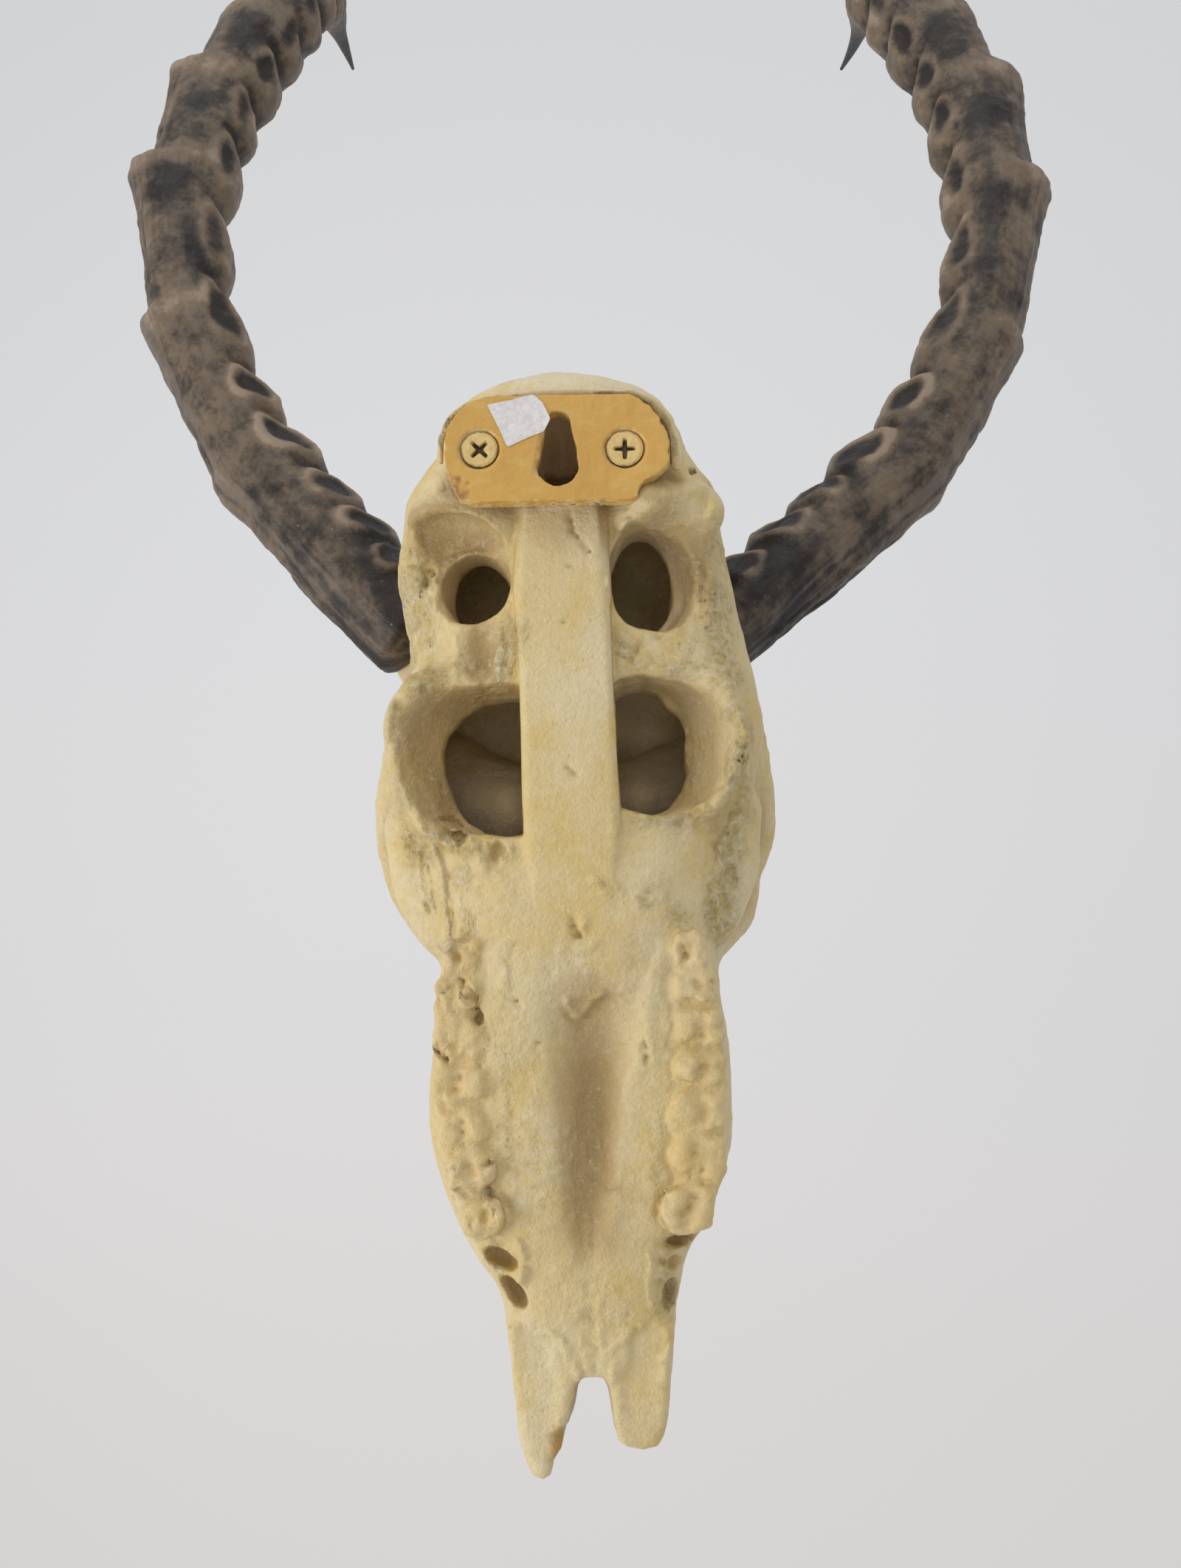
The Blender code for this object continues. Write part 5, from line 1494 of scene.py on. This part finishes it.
def boneMaterial():
    coat = Finish("agedBoneResin", boneLook)
    grow, noise, kept, times, paint = coat.grow, coat.noise, coat.kept, coat.times, coat.paint
    porous = kept("porous")
    crevice = kept("crevice")
    roughArea = grow(porous, 0.05, 0.8, 0.2, 1.0)
    height = coat.add("SeparateXYZ", {"Vector": coat.place}).outputs["Z"]
    coat.ground(grow(noise(26, 4), 0.38, 0.62), "cream", "ivory")
    # painted highlight: the top of the dome paler, where the light from above falls
    paint(grow(height, 0.0, 0.008, 0.0, 0.8), "domeHighlight")
    paint(grow(noise(75, 6, 0.65), 0.46, 0.66, 0.0, 0.66), "yellow")
    paint(coat.sums("MAXIMUM", grow(kept("dell"), 0.2, 0.7, 0.0, 0.75), kept("shade")), "dellShade")
    paint(grow(crevice, 0.05, 0.6, 0.0, 0.5), "yellow")
    paint(grow(kept("tooth"), 0.1, 0.9, 0.0, 0.3), "toothOrange")
    patchy = grow(noise(240, 5), 0.35, 0.75, 0.45, 1.0)
    # brown in crevices: partly the casting's brown wash, partly painted shade
    paint(times(grow(crevice, 0.32, 0.95, 0.0, 0.8), patchy), "brown")
    # stains, and painted shade in open crevices, pits and the gap round the plate
    paint(times(kept("stainAndShade"), patchy), "dirtAndShade")
    # painted shade in the room inside the casting and behind the keyhole, and painted light in the upper
    # rooms
    inside = coat.blend(noise(90, 5), "inside", "insidePale")
    paint(kept("roomShadeAndLight"), coat.blend(grow(height, -0.066, -0.05, 0.0, 0.85), inside, "upperRoomPaintedLight"))
    paint(kept("broken"), "brokenBrown")
    grains = coat.add("TexVoronoi", {"Vector": coat.place, "Scale": 520.0, "Randomness": 1.0})
    pit = times(grow(grains.outputs["Distance"], 0.3, 0.08), grow(noise(110, 4), 0.5, 0.62))
    pit = times(pit, roughArea)
    paint(times(grow(noise(480, 5, 0.6), 0.54, 0.64), grow(porous, 0.05, 0.7, 0.12, 0.6)), "fleck")
    paint(times(pit, 0.3), "brown")
    grit = noise(560, 6, 0.62)
    paint(times(grow(grit, 0.5, 0.36, 0.0, 0.8), roughArea), "gritYellow")
    paint(times(grow(grit, 0.54, 0.66, 0.0, 0.6), roughArea), "speck")
    paint(grow(noise(900, 3), 0.62, 0.74, 0.0, 0.3), "speck")
    paint(grow(noise(420, 2), 0.76, 0.82, 0.0, 0.45), "brown")
    crust = coat.plus(times(noise(1300, 5, 0.6), 0.34), times(grit, times(roughArea, 1.9)))
    crust = coat.sums("SUBTRACT", crust, times(pit, 0.6))
    coat.shader.inputs["IOR"].default_value = 1.46
    return coat.dry(grow(noise(160, 5), 0.3, 0.7, 0.42, 0.66), crust, 0.001)


hornLook = {
    "charcoal": (0.014, 0.010, 0.008),
    "umber": (0.060, 0.043, 0.031),
    "slate": (0.105, 0.090, 0.084),
    "taupe": (0.168, 0.122, 0.080),
    "paleTaupe": (0.30, 0.225, 0.16),
    "tip": (0.045, 0.047, 0.046),
}


def hornMaterial():
    coat = Finish("brushedHornResin", hornLook)
    grow, noise, kept, times, paint = coat.grow, coat.noise, coat.kept, coat.times, coat.paint
    grain = coat.stretched(kept("grainPlace", "Vector"), (1.0, 1.0, 0.1))
    outerSide = kept("outerSide")
    alongHorn = kept("alongHorn")
    streaks = noise(330, 4, 0.6, grain)
    specks = noise(520, 5, 0.65)
    level = kept("raised")
    for pattern, share in ((noise(62, 4, 0.55), 1.5), (noise(170, 6, 0.65), 1.4), (specks, 0.7)):
        level = coat.plus(level, times(coat.sums("SUBTRACT", pattern, 0.5), share))
    streak = times(coat.sums("SUBTRACT", streaks, 0.5), coat.plus(times(outerSide, 1.3), 0.4))
    level = coat.plus(level, streak)
    level = coat.sums("SUBTRACT", level, grow(alongHorn, 0.24, 0.04, 0.0, 0.36))
    coat.ground(grow(level, 0.0, 0.42), "charcoal", "umber")
    paint(grow(level, 0.26, 0.78, 0.0, 0.95), "taupe")
    paint(grow(level, 0.76, 1.25, 0.0, 0.95), "paleTaupe")
    paint(times(grow(streaks, 0.5, 0.68, 0.0, 0.6), outerSide), "slate")
    paint(times(grow(noise(800, 3), 0.68, 0.76), grow(alongHorn, 0.3, 0.05, 0.1, 0.8)), "paleTaupe")
    paint(grow(alongHorn, 0.87, 0.92), "tip")
    coat.shader.inputs["IOR"].default_value = 1.4
    fine = coat.plus(times(streaks, 0.7), times(specks, 0.7))
    return coat.dry(grow(specks, 0.3, 0.7, 0.40, 0.60), fine, 0.0006)


paintLook = {
    "ochre": (0.60, 0.347, 0.075),
    "deepOchre": (0.55, 0.305, 0.06),
    "paleOchre": (0.65, 0.43, 0.13),
    "cream": (0.73, 0.60, 0.34),
    "rust": (0.33, 0.15, 0.045),
    "darkEdge": (0.045, 0.05, 0.035),
    "screw": (0.63, 0.43, 0.15),
    "screwPale": (0.70, 0.52, 0.22),
    "recess": (0.06, 0.04, 0.02),
    "screwEdge": (0.16, 0.10, 0.035),
}


def plateMaterial():
    coat = Finish("ochrePaint", paintLook)
    grow, noise, times, paint = coat.grow, coat.noise, coat.times, coat.paint
    rim = coat.kept("rim")
    ragged = noise(480, 4)
    brushed = noise(90, 4, place=coat.stretched(coat.place, (1.0, 1.0, 4.0)))
    coat.ground(grow(noise(70, 4), 0.35, 0.7), "ochre", "deepOchre")
    paint(grow(brushed, 0.52, 0.7, 0.0, 0.4), "paleOchre")
    paint(times(times(grow(rim, 0.08, 0.35), grow(ragged, 0.42, 0.56)), 0.5), "cream")
    paint(times(coat.kept("brokenPaint"), grow(ragged, 0.35, 0.6, 0.2, 1.0)), "rust")
    paint(times(times(grow(rim, 0.3, 0.8), grow(ragged, 0.63, 0.68)), 0.8), "darkEdge")
    return coat.dry(grow(ragged, 0.3, 0.7, 0.36, 0.52), coat.plus(noise(300, 4), times(ragged, 0.4)), 0.00035)


def screwMaterial():
    coat = Finish("paintedScrew", paintLook)
    grow, times = coat.grow, coat.times
    ragged = coat.noise(700, 4)
    coat.ground(grow(ragged, 0.35, 0.7), "screw", "screwPale")
    # painted shade: darker the deeper a point lies below the face of the head, in the star recess and on the
    # shank
    coat.paint(grow(coat.kept("headDepth"), 0.1, 0.95, 0.0, 0.92), "recess")
    edge = times(grow(coat.kept("fromMiddle"), 0.86, 0.97), grow(ragged, 0.4, 0.6))
    coat.paint(times(edge, 0.7), "screwEdge")
    return coat.dry(grow(ragged, 0.3, 0.7, 0.34, 0.5), ragged, 0.00025)


labelLook = {
    "fibre": (0.64, 0.61, 0.60),
    "paper": (0.79, 0.76, 0.745),
    "smudge": (0.52, 0.47, 0.43),
}


def labelMaterial():
    coat = Finish("tornPaper", labelLook)
    fibres = coat.noise(900, 6, 0.7)
    coat.ground(coat.grow(fibres, 0.35, 0.7), "fibre", "paper")
    coat.paint(coat.grow(coat.noise(160, 4), 0.5, 0.75, 0.0, 0.45), "smudge")
    return coat.dry(coat.grow(fibres, 0.3, 0.7, 0.7, 0.9), fibres, 0.00018)


# Camera, fitted to the plate and the horns.
cameraView = {
    "aim": 2.0,
    "rise": -8.0,
    "roll": 0.3,
    "focalPixels": 1860.0,
    "imageWidth": 1600,
    "imageHeight": 2125,
    "platePixel": (751, 613),
    "plateDistance": 300.0,
    "sensor": 36.0,
}


def placeCamera():
    view = cameraView
    aim = math.radians(view["aim"])
    rise = math.radians(view["rise"])
    back = Vector((-math.sin(aim) * math.cos(rise), math.cos(aim) * math.cos(rise), math.sin(rise)))
    right = (-back).cross(Vector((0, 0, 1))).normalized()
    up = right.cross(-back)
    turn = Matrix.Rotation(math.radians(view["roll"]), 3, -back)
    right = turn @ right
    up = turn @ up
    distance = view["plateDistance"]
    across = (view["platePixel"][0] - view["imageWidth"] / 2) / view["focalPixels"] * distance
    above = (view["imageHeight"] / 2 - view["platePixel"][1]) / view["focalPixels"] * distance
    place = back * distance - right * across - up * above
    data = bpy.data.cameras.new("photoCamera")
    data.sensor_width = view["sensor"]
    data.lens = view["focalPixels"] / view["imageHeight"] * view["sensor"]
    data.clip_start = 0.01
    camera = bpy.data.objects.new("photoCamera", data)
    camera.matrix_world = Matrix((right, up, back)).transposed().to_4x4()
    camera.location = Vector(settle(place))
    bpy.context.scene.collection.objects.link(camera)
    bpy.context.scene.camera = camera


# Stage: a pale sheet far behind the mount, soft light from above and a stronger one from below at the left.
stageLook = {
    "sheetLow": (0.90, 0.87, 0.85),
    "sheetHigh": (0.90, 0.90, 0.905),
    "sheetPlace": -1.15,
    "sheetHalf": 4.0,
    "worldColor": (0.84, 0.85, 0.87),
    "worldStrength": 0.76,
    "lights": {
        "upperLight": ((0.1, 0.5, 0.8), (0, -0.05, -0.02), 0.7, 2.6, (1.0, 0.98, 0.95)),
        "lowerLight": ((0.75, 0.3, -0.35), (0, -0.05, -0.06), 0.6, 4.0, (1.0, 0.98, 0.94)),
    },
}


def addSoftLight(name, place, target, size, power, color):
    data = bpy.data.lights.new(name, "AREA")
    data.shape = "DISK"
    data.size = size
    data.energy = power
    data.color = color
    light = bpy.data.objects.new(name, data)
    light.location = place
    light.rotation_mode = "QUATERNION"
    light.rotation_quaternion = (Vector(target) - Vector(place)).to_track_quat("-Z", "Y")
    bpy.context.scene.collection.objects.link(light)


def dressStage():
    world = bpy.data.worlds.new("studio")
    world.use_nodes = True
    shade = world.node_tree.nodes["Background"]
    shade.inputs["Color"].default_value = (*stageLook["worldColor"], 1)
    shade.inputs["Strength"].default_value = stageLook["worldStrength"]
    bpy.context.scene.world = world
    bpy.ops.mesh.primitive_plane_add(size=2 * stageLook["sheetHalf"], rotation=(math.pi / 2, 0, math.pi),
                                     location=(0, stageLook["sheetPlace"], 0))
    sheet = bpy.context.active_object
    sheet.name = "paleSheet"
    paper = Finish("sheetPaper", stageLook)
    height = paper.add("SeparateXYZ", {"Vector": paper.place}).outputs["Y"]
    tone = paper.blend(paper.grow(height, -0.7, 0.4), "sheetLow", "sheetHigh")
    paper.feed(paper.shader.inputs["Base Color"], tone)
    paper.shader.inputs["Roughness"].default_value = 0.9
    sheet.data.materials.append(paper.material)
    for name, (place, target, size, power, color) in stageLook["lights"].items():
        addSoftLight(name, place, target, size, power, color)
    bpy.context.scene.view_settings.view_transform = "Standard"


placeCamera()
dressStage()


def hangPiece(piece, material, slotName, *nodes):
    # the finish, the body that the piece moves with, and the solids that it stands for
    piece.data.materials.clear()
    piece.data.materials.append(material)
    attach(piece, "root")
    if nodes:
        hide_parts(*nodes)
    print(piece.name, "placed with", len(piece.data.polygons), "faces")


hangPiece(buildSkull(), boneMaterial(), "bone_resin", "skull")
hornPaint = hornMaterial()
hangPiece(buildHorn("hornLeft", 1, 60), hornPaint, "horn_resin", "horn_left")
hangPiece(buildHorn("hornRight", -1, 70), hornPaint, "horn_resin", "horn_right")
hangPiece(buildPlate(), plateMaterial(), "ochre_paint", "hanger_plate")
screwPaint = screwMaterial()
for sideName, (screwX, screwZ, screwTurn) in plateForms["screws"].items():
    screwPiece = buildScrew("screw" + sideName, screwX, screwZ, screwTurn)
    hangPiece(screwPiece, screwPaint, "painted_screw", "screw_" + sideName.lower())
hangPiece(buildLabel(), labelMaterial(), "label_paper")
